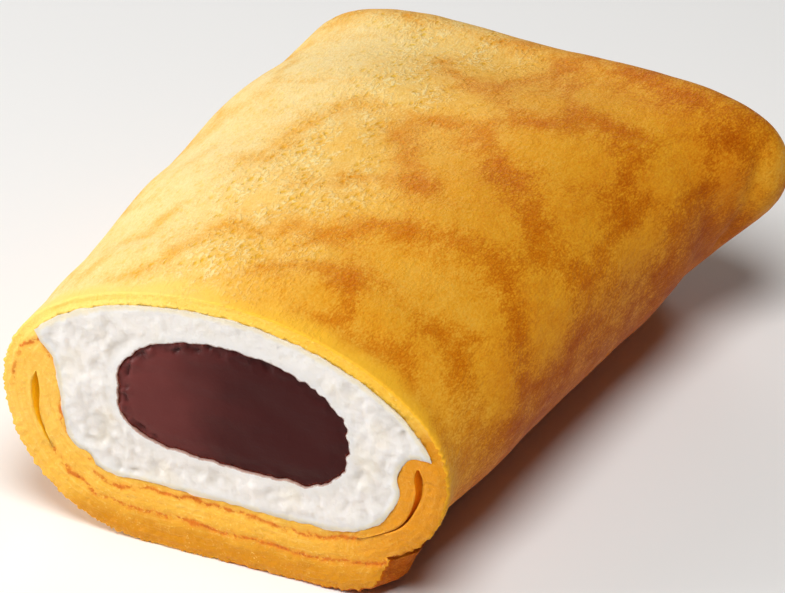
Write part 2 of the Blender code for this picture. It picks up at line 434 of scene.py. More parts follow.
    def core_section(self, steps: int = 220) -> list[Point2]:
        """Draws the oval of the paste core, flattened below.

        Args:
            steps: How many points it has.

        Returns:
            The oval, anticlockwise.
        """
        turn = math.radians(self.core_turn)
        points = []
        for k in range(steps):
            angle = 2.0 * math.pi * k / steps
            across, up = math.cos(angle), math.sin(angle)
            bend = 2.0 / (self.core_top_power if up > 0 else self.core_base_power)
            x = self.core_reach * math.copysign(abs(across) ** bend, across)
            z = (self.core_rise if up > 0 else self.core_drop) * math.copysign(abs(up) ** bend, up)
            right = x * math.cos(turn) - z * math.sin(turn)
            height = self.core_centre[1] + x * math.sin(turn) + z * math.cos(turn)
            points.append((self.core_centre[0] + right, height))
        return points


@dataclass(frozen=True)
class BrownMark:
    """A browned streak of the skin, along points (from the cut, from the crest) in millimetres."""

    path: Knots
    width: float
    depth: float


@dataclass(frozen=True)
class PaleCell:
    """A rounded light patch of the skin, about points (from the cut, from the crest) in millimetres."""

    path: Knots
    width: float


@dataclass(frozen=True)
class CutLine:
    """A line between layers on the cut face, along points (across, up) in millimetres."""

    path: Knots
    width: float
    toast: float
    groove: float


SKIN_MARKS = (
    BrownMark(((57, 8), (53, 12), (50, 14), (48, 18), (45, 21), (41, 24), (38, 27)), 1.9, 1.0),
    BrownMark(((38, 27), (39, 30), (42, 32), (42, 35), (39, 38), (36, 40)), 1.8, 0.6),
    BrownMark(
        ((57, 2), (57, 5), (57, 8), (61, 9), (63, 12), (66, 17), (70, 18), (70, 22), (72, 25)),
        1.7,
        0.85,
    ),
    BrownMark(((70, 18), (71, 20)), 2.0, 0.7),
    BrownMark(((77, -7), (72, -3), (70, 0), (72, 4), (76, 6), (81, 7), (84, 7)), 1.6, 0.75),
    BrownMark(((69, 1), (67, 5), (64, 9)), 1.3, 0.55),
    BrownMark(((79, 11), (74, 13), (70, 16)), 1.4, 0.55),
    BrownMark(((84, 6), (89, 9), (90, 13), (89, 17)), 1.6, 0.6),
    BrownMark(((87, 18), (85, 23), (85, 27)), 2.2, 0.75),
    BrownMark(
        ((68, 25), (63, 27), (59, 29), (60, 31), (55, 31), (51, 32), (48, 33), (46, 34), (42, 34)),
        1.7,
        0.95,
    ),
    BrownMark(((63, 32), (64, 36), (64, 40), (61, 42)), 1.5, 0.75),
    BrownMark(((78, 33), (74, 35), (71, 36), (68, 39)), 1.4, 0.85),
    BrownMark(((80, 30), (80, 32), (82, 34), (84, 36)), 1.6, 0.95),
    BrownMark(((71, 36), (72, 41)), 1.2, 0.6),
    BrownMark(((51, 0), (47, 2), (42, 6), (38, 9)), 1.9, 0.95),
    BrownMark(((51, -2), (54, 1), (57, 2)), 1.6, 0.6),
    BrownMark(((36, -15), (38, -12), (43, -13), (48, -13), (51, -13), (53, -11), (57, -10)), 1.9, 0.85),
    BrownMark(((58, -10), (58, -7), (57, -3), (57, 2)), 1.5, 0.55),
    BrownMark(((61, -25), (61, -19), (63, -14)), 1.0, 0.5),
    BrownMark(((80, -26), (79, -23), (82, -17)), 1.4, 0.5),
    BrownMark(((31, -6), (33, -2), (36, 0), (39, 6), (38, 9)), 1.5, 0.8),
    BrownMark(((20, 2), (21, 2), (21, 5), (23, 7), (26, 8), (27, 11)), 1.7, 0.9),
    BrownMark(((18, -8), (18, -4), (20, 2)), 1.4, 0.35),
    BrownMark(((25, -10), (21, -9), (18, -8)), 1.5, 0.5),
    BrownMark(((4, -18), (5, -15), (8, -12), (11, -12), (13, -11), (15, -10), (18, -8)), 1.5, 0.9),
    BrownMark(((15, -22), (16, -19), (20, -20), (23, -18)), 1.4, 0.65),
    BrownMark(((11, -28), (6, -27)), 1.2, 0.5),
    BrownMark(((17, -2), (21, -1), (23, -1)), 1.5, 0.55),
    BrownMark(((8, -1), (11, 2), (13, 5), (14, 8)), 1.4, 0.75),
    BrownMark(((15, 11), (12, 12), (9, 13), (6, 13), (4, 12)), 1.9, 0.9),
    BrownMark(((2, 16), (4, 19), (6, 21), (7, 22)), 1.5, 0.7),
    BrownMark(((7, 22), (5, 25), (2, 26)), 1.6, 0.7),
    BrownMark(
        (
            (26, 12),
            (28, 14),
            (29, 17),
            (30, 20),
            (31, 23),
            (30, 25),
            (28, 28),
            (27, 30),
            (24, 33),
            (24, 37),
            (22, 41),
        ),
        1.7,
        0.75,
    ),
    BrownMark(((13, 21), (12, 23), (15, 26), (18, 28)), 1.4, 0.6),
    BrownMark(((13, 27), (14, 29), (12, 30), (10, 29)), 1.5, 0.65),
    BrownMark(((87, -27), (88, -20), (88, -14), (88, -8), (89, 0)), 1.6, 0.8),
    BrownMark(((25, 36), (30, 40), (29, 42), (22, 39)), 1.8, 0.7),
    BrownMark(((2, 32), (7, 38), (13, 40), (20, 42)), 2.0, 0.55),
)

PALE_CELLS = (
    PaleCell(((77, -2), (82, 3)), 3.6),
    PaleCell(((62, -8), (63, -2), (64, 6)), 3.6),
    PaleCell(((69, 10), (71, 13)), 2.6),
    PaleCell(((77, 15), (76, 22)), 3.6),
    PaleCell(((57, 13), (59, 19), (61, 24)), 4.6),
    PaleCell(((47, 8), (40, 15), (36, 22)), 3.6),
    PaleCell(((49, 26), (46, 29)), 3.8),
    PaleCell(((62, 34), (54, 35)), 2.4),
    PaleCell(((65, 31), (76, 32)), 3.2),
    PaleCell(((79, 35), (76, 38)), 1.8),
    PaleCell(((76, 25), (81, 29)), 2.6),
    PaleCell(((34, 31), (29, 36)), 4.4),
    PaleCell(((23, 27), (22, 29)), 1.8),
    PaleCell(((18, 32), (17, 35)), 4.0),
    PaleCell(((11, 25), (7, 28)), 2.6),
    PaleCell(((19, 20), (21, 26)), 3.0),
    PaleCell(((21, 13), (20, 16)), 2.8),
    PaleCell(((33, 12), (34, 14)), 1.8),
    PaleCell(((80, -14), (81, -9)), 3.4),
    PaleCell(((84, -25), (84, -18)), 2.0),
    PaleCell(((57, -26), (59, -13)), 2.6),
    PaleCell(((40, -24), (42, -18)), 3.8),
    PaleCell(((48, -4), (40, 1)), 3.0),
    PaleCell(((39, -8), (43, -3)), 3.4),
    PaleCell(((27, -11), (28, -5)), 3.8),
    PaleCell(((26, -1), (31, 8)), 3.0),
    PaleCell(((26, -27), (25, -20)), 3.2),
    PaleCell(((19, -16), (21, -12)), 2.6),
    PaleCell(((8, -7), (13, -3)), 3.0),
    PaleCell(((16, 5), (17, 7)), 1.8),
    PaleCell(((9, 8), (8, 10)), 2.0),
    PaleCell(((10, 16), (11, 20)), 3.4),
)

CUT_LINES = (
    CutLine(
        (
            (18.8, 8.5),
            (16.8, 8.1),
            (13.9, 7.3),
            (9.5, 7.2),
            (5.5, 7.6),
            (1.1, 8.0),
            (-4.6, 8.2),
            (-10.5, 8.0),
        ),
        0.26,
        1.0,
        0.5,
    ),
    CutLine(((-10.5, 8.0), (-14.4, 7.4), (-16.1, 7.4), (-18.2, 8.6)), 0.22, 0.7, 0.35),
    CutLine(
        ((-24.3, 10.7), (-23.1, 9.2), (-22.1, 8.1), (-20.2, 7.0), (-18.3, 5.4), (-15.5, 4.9), (-10.1, 4.7)),
        0.22,
        0.6,
        0.45,
    ),
    CutLine(((-10.1, 4.7), (-5.3, 4.8), (0.8, 4.3), (6.1, 4.4), (11.5, 4.2), (16.9, 4.6)), 0.24, 0.95, 0.5),
    CutLine(((16.9, 4.6), (19.6, 5.4), (22.0, 5.6), (23.8, 6.9)), 0.26, 1.0, 0.6),
    CutLine(((-28.6, 23.8), (-27.1, 25.1), (-25.4, 25.7), (-24.3, 24.2), (-23.0, 22.7)), 0.28, 0.70, 0.30),
    CutLine(((-29.8, 18.7), (-29.3, 22.0), (-28.6, 23.8)), 0.2, 0.30, 0.12),
    CutLine(((-23.0, 22.7), (-22.4, 20.7), (-22.6, 18.4), (-22.9, 15.0), (-22.0, 13.2)), 0.25, 0.62, 0.18),
    CutLine(((-19.5, 10.3), (-14.0, 9.4), (-8.0, 9.3), (-2.0, 9.3)), 0.22, 0.35, 0.15),
    CutLine(((-15.0, 6.2), (-6.0, 6.6), (4.0, 6.1), (14.0, 5.8), (20.0, 7.2)), 0.2, 0.12, 0.2),
    CutLine(((-16.0, 2.6), (-6.0, 2.3), (4.0, 2.1), (13.0, 2.2)), 0.25, 0.1, 0.18),
)

LEFT_SLIT = (
    (-0.0263, 0.0211, 0.0002),
    (-0.0264, 0.0188, 0.0012),
    (-0.0262, 0.0150, 0.0007),
    (-0.0243, 0.0107, 0.0002),
)
RIGHT_SLIT = (
    (0.0272, 0.0205, 0.0004),
    (0.0273, 0.0190, 0.0012),
    (0.0271, 0.0160, 0.0007),
    (0.0251, 0.0121, 0.00024),
    (0.0215, 0.0097, 0.00012),
    (0.0188, 0.0085, 0.00008),
)


class Shell:
    """A mesh in the making, with the rings that its walls grow from."""

    def __init__(self) -> None:
        """Starts empty."""
        self.bm = bmesh.new()
        self.layers = {name: self.bm.verts.layers.float.new(name.value) for name in Layer}

    def ring(self, section: Sequence[Point2], y: float) -> list[bmesh.types.BMVert]:
        """Draws a closed outline.

        Args:
            section: Its points, across and up.
            y: How far along the roll it stands.

        Returns:
            Its vertices in order.
        """
        verts = [self.bm.verts.new((x, y, z)) for x, z in section]
        for here, after in zip(verts, verts[1:] + verts[:1]):
            self.bm.edges.new((here, after))
        return verts

    def edges_of(self, ring: Sequence[bmesh.types.BMVert]) -> list[bmesh.types.BMEdge]:
        """The edges round a ring."""
        return [self.bm.edges.get(pair) for pair in zip(ring, [*ring[1:], ring[0]])]

    def grow(
        self,
        ring: list[bmesh.types.BMVert],
        sections: Sequence[tuple[Sequence[Point2], float]],
        zone: Zone = Zone.SKIN,
    ) -> list[list[bmesh.types.BMVert]]:
        """Extrudes a ring through sections with the same number of points.

        Args:
            ring: Where the wall starts.
            sections: Each section with its place along the roll.
            zone: The surface that the wall belongs to.

        Returns:
            Every ring, the first one included.
        """
        rings = [ring]
        edges = self.edges_of(ring)
        for section, y in sections:
            grown = bmesh.ops.extrude_edge_only(self.bm, edges=edges)["geom"]
            edges = [g for g in grown if isinstance(g, bmesh.types.BMEdge)]
            fresh = {g for g in grown if isinstance(g, bmesh.types.BMVert)}
            for g in grown:
                if isinstance(g, bmesh.types.BMFace):
                    g.material_index = zone.value
            ring = [next(e.other_vert(v) for e in v.link_edges if e.other_vert(v) in fresh) for v in ring]
            for vert, (x, z) in zip(ring, section):
                vert.co = (x, y, z)
            rings.append(ring)
        return rings

    def close(self, ring: list[bmesh.types.BMVert], zone: Zone = Zone.SKIN) -> bmesh.types.BMFace:
        """Closes a ring with one face."""
        face = self.bm.faces.new(ring)
        face.material_index = zone.value
        return face

    def gather(self, ring: list[bmesh.types.BMVert]) -> bmesh.types.BMVert:
        """Draws a ring together into one point at its middle."""
        middle = sum((v.co for v in ring), Vector()) / len(ring)
        bmesh.ops.pointmerge(self.bm, verts=ring, merge_co=middle)
        return ring[0]

    def plate(
        self, rings: Sequence[list[bmesh.types.BMVert]], y: float, cell: float, zone: Zone = Zone.CRUMB
    ) -> list[bmesh.types.BMFace]:
        """Fills the cut face between rings with fine, even cells.

        Args:
            rings: The outline and the edges of its openings.
            y: Where the face stands.
            cell: The width of a cell.
            zone: The surface that the face belongs to.

        Returns:
            The new faces.
        """
        outlines = [[(v.co.x, v.co.z) for v in ring] for ring in rings]
        corners = np.array([p for outline in outlines for p in outline])
        low, high = corners.min(axis=0), corners.max(axis=0)
        counts = np.ceil((high - low) / cell).astype(int)
        xs = low[0] + cell * (np.arange(counts[0]) + 0.5)
        zs = low[1] + cell * (np.arange(counts[1]) + 0.5)
        x, z = np.meshgrid(xs, zs, indexing="ij")
        inside = np.zeros(x.shape, bool)
        for outline in outlines:
            inside ^= inside_outline(x, z, outline)
        kept = self._clear_of(outlines, x, z, inside, 0.7 * cell)
        cells = kept[:-1, :-1] & kept[1:, :-1] & kept[:-1, 1:] & kept[1:, 1:]
        self._part_corners(cells)
        made = bmesh.ops.create_grid(self.bm, x_segments=counts[0] - 1, y_segments=counts[1] - 1, size=1.0)
        verts = made["verts"]
        for vert in verts:
            i = round((vert.co.x + 1.0) / 2.0 * (counts[0] - 1))
            j = round((vert.co.y + 1.0) / 2.0 * (counts[1] - 1))
            vert.co = (xs[i], y, zs[j])
        lost, held = [], []
        for face in dict.fromkeys(f for v in verts for f in v.link_faces):
            middle = face.calc_center_median()
            i = int((middle.x - xs[0]) // cell)
            j = int((middle.z - zs[0]) // cell)
            (held if cells[i, j] else lost).append(face)
        bmesh.ops.delete(self.bm, geom=lost, context="FACES")
        rims = [e for e in dict.fromkeys(e for f in held for e in f.edges) if len(e.link_faces) == 1]
        for ring in rings:
            rims += self.edges_of(ring)
        filled = bmesh.ops.triangle_fill(
            self.bm, edges=rims, use_beauty=True, use_dissolve=False, normal=(0.0, -1.0, 0.0)
        )["geom"]
        faces = held + [g for g in filled if isinstance(g, bmesh.types.BMFace)]
        for face in faces:
            face.material_index = zone.value
        return faces

    @staticmethod
    def _clear_of(
        outlines: Sequence[Sequence[Point2]], x: np.ndarray, z: np.ndarray, inside: np.ndarray, margin: float
    ) -> np.ndarray:
        """Keeps the lattice points that are inside and at least a margin away from every outline.

        Args:
            outlines: The outlines.
            x: The lattice, across.
            z: The lattice, up.
            inside: Which of its points lie inside.
            margin: The least distance.

        Returns:
            Which points are kept.
        """
        marks = []
        for outline in outlines:
            for (ax, az), (bx, bz) in zip(outline, [*outline[1:], outline[0]]):
                parts = max(1, math.ceil(math.dist((ax, az), (bx, bz)) / (0.5 * margin)))
                across, up = bx - ax, bz - az
                marks += [(ax + across * k / parts, az + up * k / parts, 0.0) for k in range(parts)]
        tree = kdtree.KDTree(len(marks))
        for index, mark in enumerate(marks):
            tree.insert(mark, index)
        tree.balance()
        kept = inside.copy()
        for i, j in zip(*np.nonzero(inside)):
            kept[i, j] = tree.find((x[i, j], z[i, j], 0.0))[2] > margin
        return kept

    @staticmethod
    def _part_corners(cells: np.ndarray) -> None:
        """Takes out cells that touch another by a corner alone.

        Args:
            cells: Which cells of the lattice are kept, changed here.
        """
        for _ in range(12):
            a, b, c, d = cells[:-1, :-1], cells[1:, :-1], cells[:-1, 1:], cells[1:, 1:]
            rising, falling = a & d & ~b & ~c, b & c & ~a & ~d
            if not rising.any() and not falling.any():
                return
            for i, j in zip(*np.nonzero(rising)):
                cells[i, j] = False
            for i, j in zip(*np.nonzero(falling)):
                cells[i + 1, j] = False

    def positions(self) -> np.ndarray:
        """Where every vertex is, in metres."""
        return np.array([v.co for v in self.bm.verts])

    def write(self, layer: Layer, values: np.ndarray) -> None:
        """Keeps one number a vertex for the finish to read."""
        key = self.layers[layer]
        for vert, value in zip(self.bm.verts, values):
            vert[key] = float(value)

    def finish(self, name: str, sharp: float = 180.0) -> bpy.types.Object:
        """Makes the object.

        Args:
            name: The piece's name.
            sharp: The angle above which an edge stays sharp, in degrees.

        Returns:
            The object, shaded smooth, at the origin.
        """
        mesh = bpy.data.meshes.new(name)
        self.bm.to_mesh(mesh)
        self.bm.free()
        mesh.shade_smooth()
        if sharp < 180.0:
            mesh.set_sharp_from_angle(angle=math.radians(sharp))
        piece = bpy.data.objects.new(name, mesh)
        bpy.context.scene.collection.objects.link(piece)
        return piece


class Graph:
    """A finish's nodes, with short calls for the few kinds that this object needs."""

    def __init__(self, name: str, drawn_out: float = 1.0) -> None:
        """Starts from a plain shader.

        Args:
            name: The finish's name.
            drawn_out: How many times longer its patterns are along the roll than round it.
        """
        self.material = bpy.data.materials.new(name)
        self.material.use_nodes = True
        self.nodes = self.material.node_tree.nodes
        self.links = self.material.node_tree.links
        self.shader = self.nodes["Principled BSDF"]
        self.place = self.nodes.new("ShaderNodeTexCoord").outputs["Object"]
        if drawn_out != 1.0:
            inputs = {"Vector": self.place, "Scale": (1.0, 1.0 / drawn_out, 1.0)}
            self.place = self.node("ShaderNodeMapping", inputs).outputs[0]

    def feed(self, socket: bpy.types.NodeSocket, value: Any) -> None:
        """Links a socket, or sets it to a plain value."""
        if isinstance(value, bpy.types.NodeSocket):
            self.links.new(value, socket)
        elif value is not None:
            socket.default_value = value

    def node(self, kind: str, inputs: dict[str | int, Any], **settings: Any) -> bpy.types.Node:
        """Adds a node.

        Args:
            kind: Blender's name for it.
            inputs: What goes into its sockets, by name or number.
            **settings: Its options.

        Returns:
            The node.
        """
        made = self.nodes.new(kind)
        for key, value in settings.items():
            setattr(made, key, value)
        for key, value in inputs.items():
            self.feed(made.inputs[key], value)
        return made

    def read(self, layer: Layer) -> bpy.types.NodeSocket:
        """A vertex attribute."""
        return self.node("ShaderNodeAttribute", {}, attribute_name=layer.value).outputs["Fac"]

    def maths(self, operation: str, a: Any, b: Any = None, clamp: bool = False) -> bpy.types.NodeSocket:
        """The result of one sum."""
        made = self.node("ShaderNodeMath", {0: a}, operation=operation, use_clamp=clamp)
        if b is not None:
            self.feed(made.inputs[1], b)
        return made.outputs[0]

    def total(self, *parts: Any) -> bpy.types.NodeSocket:
        """The sum of several values."""
        value = parts[0]
        for part in parts[1:]:
            value = self.maths("ADD", value, part)
        return value

    def scaled(self, value: Any, by: Any) -> bpy.types.NodeSocket:
        """A value times another."""
        return self.maths("MULTIPLY", value, by)

    def step(
        self, value: Any, low: float, high: float, first: float = 0.0, last: float = 1.0
    ) -> bpy.types.NodeSocket:
        """A smooth step.

        Args:
            value: What is measured.
            low: Where the step starts.
            high: Where it ends.
            first: The result below it.
            last: The result above it.

        Returns:
            The result's socket.
        """
        inputs = {"Value": value, "From Min": low, "From Max": high, "To Min": first, "To Max": last}
        return self.node("ShaderNodeMapRange", inputs, interpolation_type="SMOOTHSTEP").outputs["Result"]

    def grain(
        self, size: float, detail: float = 2.0, roughness: float = 0.5, at: Any = None
    ) -> bpy.types.NodeSocket:
        """Noise from 0 to 1.

        Args:
            size: The width of its lumps, in millimetres.
            detail: How many finer layers it has.
            roughness: How strong they are.
            at: Where it is read, if not at the place on the piece.

        Returns:
            The noise's socket.
        """
        scale = 1.0 / size if at is not None else 1.0 / (size * MM)
        inputs = {"Vector": at or self.place, "Scale": scale, "Detail": detail, "Roughness": roughness}
        return self.node("ShaderNodeTexNoise", inputs).outputs["Fac"]

    def swing(
        self, size: float, detail: float = 2.0, roughness: float = 0.5, at: Any = None
    ) -> bpy.types.NodeSocket:
        """Noise that swings about 0, mostly from -1 to 1.

        Args:
            size: The width of its lumps, in millimetres.
            detail: How many finer layers it has.
            roughness: How strong they are.
            at: Where it is read, if not at the place on the piece.

        Returns:
            The noise's socket.
        """
        inputs = {0: self.grain(size, detail, roughness, at), 1: 6.0, 2: -3.0}
        return self.node("ShaderNodeMath", inputs, operation="MULTIPLY_ADD").outputs[0]

    def cells(self, size: float, measure: Cell, at: Any = None) -> bpy.types.NodeSocket:
        """A pattern of cells, of a size in millimetres."""
        inputs = {"Vector": at or self.place, "Scale": 1.0 / (size * MM)}
        return self.node("ShaderNodeTexVoronoi", inputs, feature=measure.value).outputs["Distance"]

    def warped(self, size: float, reach: float, detail: float = 2.0) -> bpy.types.NodeSocket:
        """The place on the piece, pushed about by noise.

        Args:
            size: The width of the noise's lumps, in millimetres.
            reach: How far it pushes, in millimetres.
            detail: How many finer layers it has.

        Returns:
            The place's socket.
        """
        inputs = {"Vector": self.place, "Scale": 1.0 / (size * MM), "Detail": detail}
        push = self.node("ShaderNodeTexNoise", inputs).outputs["Color"]
        inputs = {0: push, 1: (0.5, 0.5, 0.5)}
        centred = self.node("ShaderNodeVectorMath", inputs, operation="SUBTRACT").outputs[0]
        inputs = {0: centred, 1: (2.0 * reach * MM,) * 3, 2: self.place}
        return self.node("ShaderNodeVectorMath", inputs, operation="MULTIPLY_ADD").outputs[0]

    def mixed(self, share: Any, a: Any, b: Any, blend: str = "MIX") -> bpy.types.NodeSocket:
        """One colour over another.

        Args:
            share: How much of the second.
            a: The first colour.
            b: The second colour.
            blend: How they are put together.

        Returns:
            The colour's socket.
        """
        first = (*a, 1.0) if isinstance(a, tuple) else a
        second = (*b, 1.0) if isinstance(b, tuple) else b
        inputs = {0: share, 6: first, 7: second}
        return self.node("ShaderNodeMix", inputs, data_type="RGBA", blend_type=blend).outputs[2]

    def ramp(self, value: Any, *stops: tuple[float, Colour]) -> bpy.types.NodeSocket:
        """A colour that changes with a value.

        Args:
            value: From 0 to 1.
            *stops: Each place with its colour, in order.

        Returns:
            The colour's socket.
        """
        made = self.node("ShaderNodeValToRGB", {0: value})
        marks = made.color_ramp.elements
        while len(marks) < len(stops):
            marks.new(1.0)
        for mark, (place, colour) in zip(marks, stops):
            mark.position = place
            mark.color = (*colour, 1.0)
        return made.outputs["Color"]

    def bump(
        self, height: Any, depth: float, strength: float = 1.0, over: Any = None
    ) -> bpy.types.NodeSocket:
        """Low relief.

        Args:
            height: From 0 to 1.
            depth: What a height of 1 stands for, in millimetres.
            strength: How much of it shows.
            over: The relief under it.

        Returns:
            The normal's socket.
        """
        inputs = {"Height": height, "Distance": depth * MM, "Strength": strength, "Normal": over}
        return self.node("ShaderNodeBump", inputs).outputs["Normal"]

    def set(self, **values: Any) -> None:
        """Sets sockets of the shader, named with _ for a space."""
        for name, value in values.items():
            self.feed(self.shader.inputs[name.replace("_", " ")], value)


@dataclass(frozen=True)
class SkinFinish:
    """The browned outside of the sheet: pale cells, toasted streaks with a fine crackle, small pores, with a
    painted sheen on the left slope and painted shade low on the right side and on the flap's side.
    """

    pale: Colour = tint(247, 219, 152)
    creamy: Colour = tint(247, 202, 108)
    golden: Colour = tint(240, 182, 70)
    orange: Colour = tint(233, 161, 36)
    russet: Colour = tint(214, 122, 12)
    lip_pale: Colour = tint(250, 212, 108)
    lip_deep: Colour = tint(252, 188, 46)
    toast_pale: Colour = (0.96, 0.73, 0.34)
    toast_golden: Colour = (0.89, 0.61, 0.16)
    toast_orange: Colour = (0.83, 0.55, 0.08)
    toast_russet: Colour = (0.62, 0.38, 0.06)
    pore: Colour = (0.90, 0.80, 0.16)
    fleck: Colour = tint(255, 241, 182)
    shadow: Colour = (0.80, 0.60, 0.22)
    fleck_warm: Colour = tint(250, 196, 70)
    roughness: float = 0.55
    grain_size: float = 0.42
    crackle_size: float = 0.95
    pore_size: float = 0.95
    drawn_out: float = 2.1

    def material(self) -> bpy.types.Material:
        """Builds the finish.

        Returns:
            The material.
        """
        g = Graph("crepe_skin", self.drawn_out)
        browned, warmth, lip = g.read(Layer.BROWNED), g.read(Layer.TONE_SHEEN_SHADE), g.read(Layer.LIP)
        cloud, mottle = g.swing(6.0, 3.0, 0.6), g.swing(1.6, 3.0, 0.6)
        speck, dust = g.swing(self.grain_size, 2.0, 0.6), g.swing(0.22, 1.0)
        plain = g.maths("SUBTRACT", 1.0, lip, True)
        patch = g.step(g.total(g.swing(3.0), g.scaled(plain, 0.4)), -0.7, 0.5)
        golden = g.scaled(g.step(warmth, 0.36, 0.76, 1.0, 0.22), g.step(warmth, 0.06, 0.28, 0.35, 1.0))
        spongy = g.scaled(patch, golden)

        # The tone attribute carries the skin's own tone with a painted sheen (pale, left slope) and painted
        # shade (russet, low right).
        tone = g.total(warmth, g.scaled(cloud, 0.04), g.scaled(mottle, 0.04))
        tone = g.total(tone, g.scaled(speck, 0.04), g.scaled(dust, 0.05))
        base = g.ramp(
            tone,
            (0.0, self.pale),
            (0.29, self.creamy),
            (0.50, self.golden),
            (0.74, self.orange),
            (1.0, self.russet),
        )
        sponge = g.cells(self.pore_size, Cell.CENTRE, g.warped(1.1, 0.5))
        pores = g.scaled(g.step(sponge, 0.14, 0.36, 1.0, 0.0), g.scaled(spongy, plain))
        base = g.mixed(g.scaled(pores, 0.95), base, g.mixed(1.0, base, self.pore, "MULTIPLY"))
        raised = g.scaled(g.step(g.total(speck, g.scaled(sponge, 1.6)), 0.65, 1.70), spongy)
        fleck = g.mixed(g.step(warmth, 0.35, 0.70), self.fleck, self.fleck_warm)
        base = g.mixed(g.scaled(raised, 0.55), base, fleck)

        fuzz = g.total(g.scaled(speck, 0.18), g.scaled(dust, 0.14))
        fuzz = g.total(fuzz, g.scaled(mottle, 0.12), g.scaled(cloud, 0.04))
        heat = g.total(browned, g.scaled(fuzz, g.step(browned, 0.0, 0.45, 0.35, 1.0)))
        toast = g.scaled(g.step(heat, -0.10, 1.10), plain)
        brown = g.ramp(
            tone,
            (0.0, self.toast_pale),
            (0.42, self.toast_golden),
            (0.72, self.toast_orange),
            (1.0, self.toast_russet),
        )
        net = g.step(g.cells(self.crackle_size, Cell.EDGE, g.warped(0.8, 0.22)), 0.02, 0.13, 1.0, 0.0)
        fine_net = g.step(g.cells(0.55, Cell.EDGE, g.warped(0.6, 0.14)), 0.02, 0.18, 1.0, 0.0)
        nets = g.maths("MAXIMUM", g.scaled(net, 0.9), g.scaled(fine_net, 0.7))
        crackle = g.scaled(nets, g.step(heat, 0.12, 0.60))
        crackle = g.scaled(g.scaled(crackle, plain), g.step(warmth, 0.35, 0.75, 0.15, 0.85))
        colour = g.mixed(toast, base, g.mixed(1.0, base, brown, "MULTIPLY"))
        spark = g.scaled(g.step(g.total(speck, g.scaled(dust, 0.8)), 0.5, 1.4), g.scaled(toast, 0.60))
        colour = g.mixed(spark, colour, base)
        hottest = g.scaled(g.step(heat, 0.80, 1.40), 0.15)
        colour = g.mixed(hottest, colour, g.mixed(1.0, colour, brown, "MULTIPLY"))
        colour = g.mixed(g.scaled(crackle, 0.75), colour, g.mixed(1.0, colour, self.shadow, "MULTIPLY"))
        dull = g.scaled(g.step(speck, 0.0, -1.2), g.scaled(g.step(toast, 0.0, 0.6, 0.16, 0.44), plain))
        colour = g.mixed(dull, colour, g.mixed(1.0, colour, self.shadow, "MULTIPLY"))
        # The band along the cut follows the same tone, so its pale left and deep right also carry the painted
        # sheen and painted shade.
        band = g.mixed(g.step(warmth, 0.1, 0.7), self.lip_pale, self.lip_deep)
        colour = g.mixed(g.scaled(lip, g.total(0.82, g.scaled(mottle, 0.06))), colour, band)

        sheen = g.total(g.scaled(mottle, 0.04), g.scaled(speck, 0.03), self.roughness)
        height = g.total(g.scaled(speck, 0.11), g.scaled(dust, 0.03), g.scaled(pores, -0.65))
        height = g.total(height, g.scaled(crackle, -0.20), g.scaled(raised, 0.45))
        low = g.bump(g.swing(1.3), 0.020, 1.0)
        g.set(Base_Color=colour, Roughness=sheen, Normal=g.bump(height, 0.14, 1.0, low))
        g.set(Specular_IOR_Level=0.07, Subsurface_Weight=0.06, Subsurface_Scale=0.0006)
        g.set(Subsurface_Radius=(1.0, 0.5, 0.2))
        return g.material


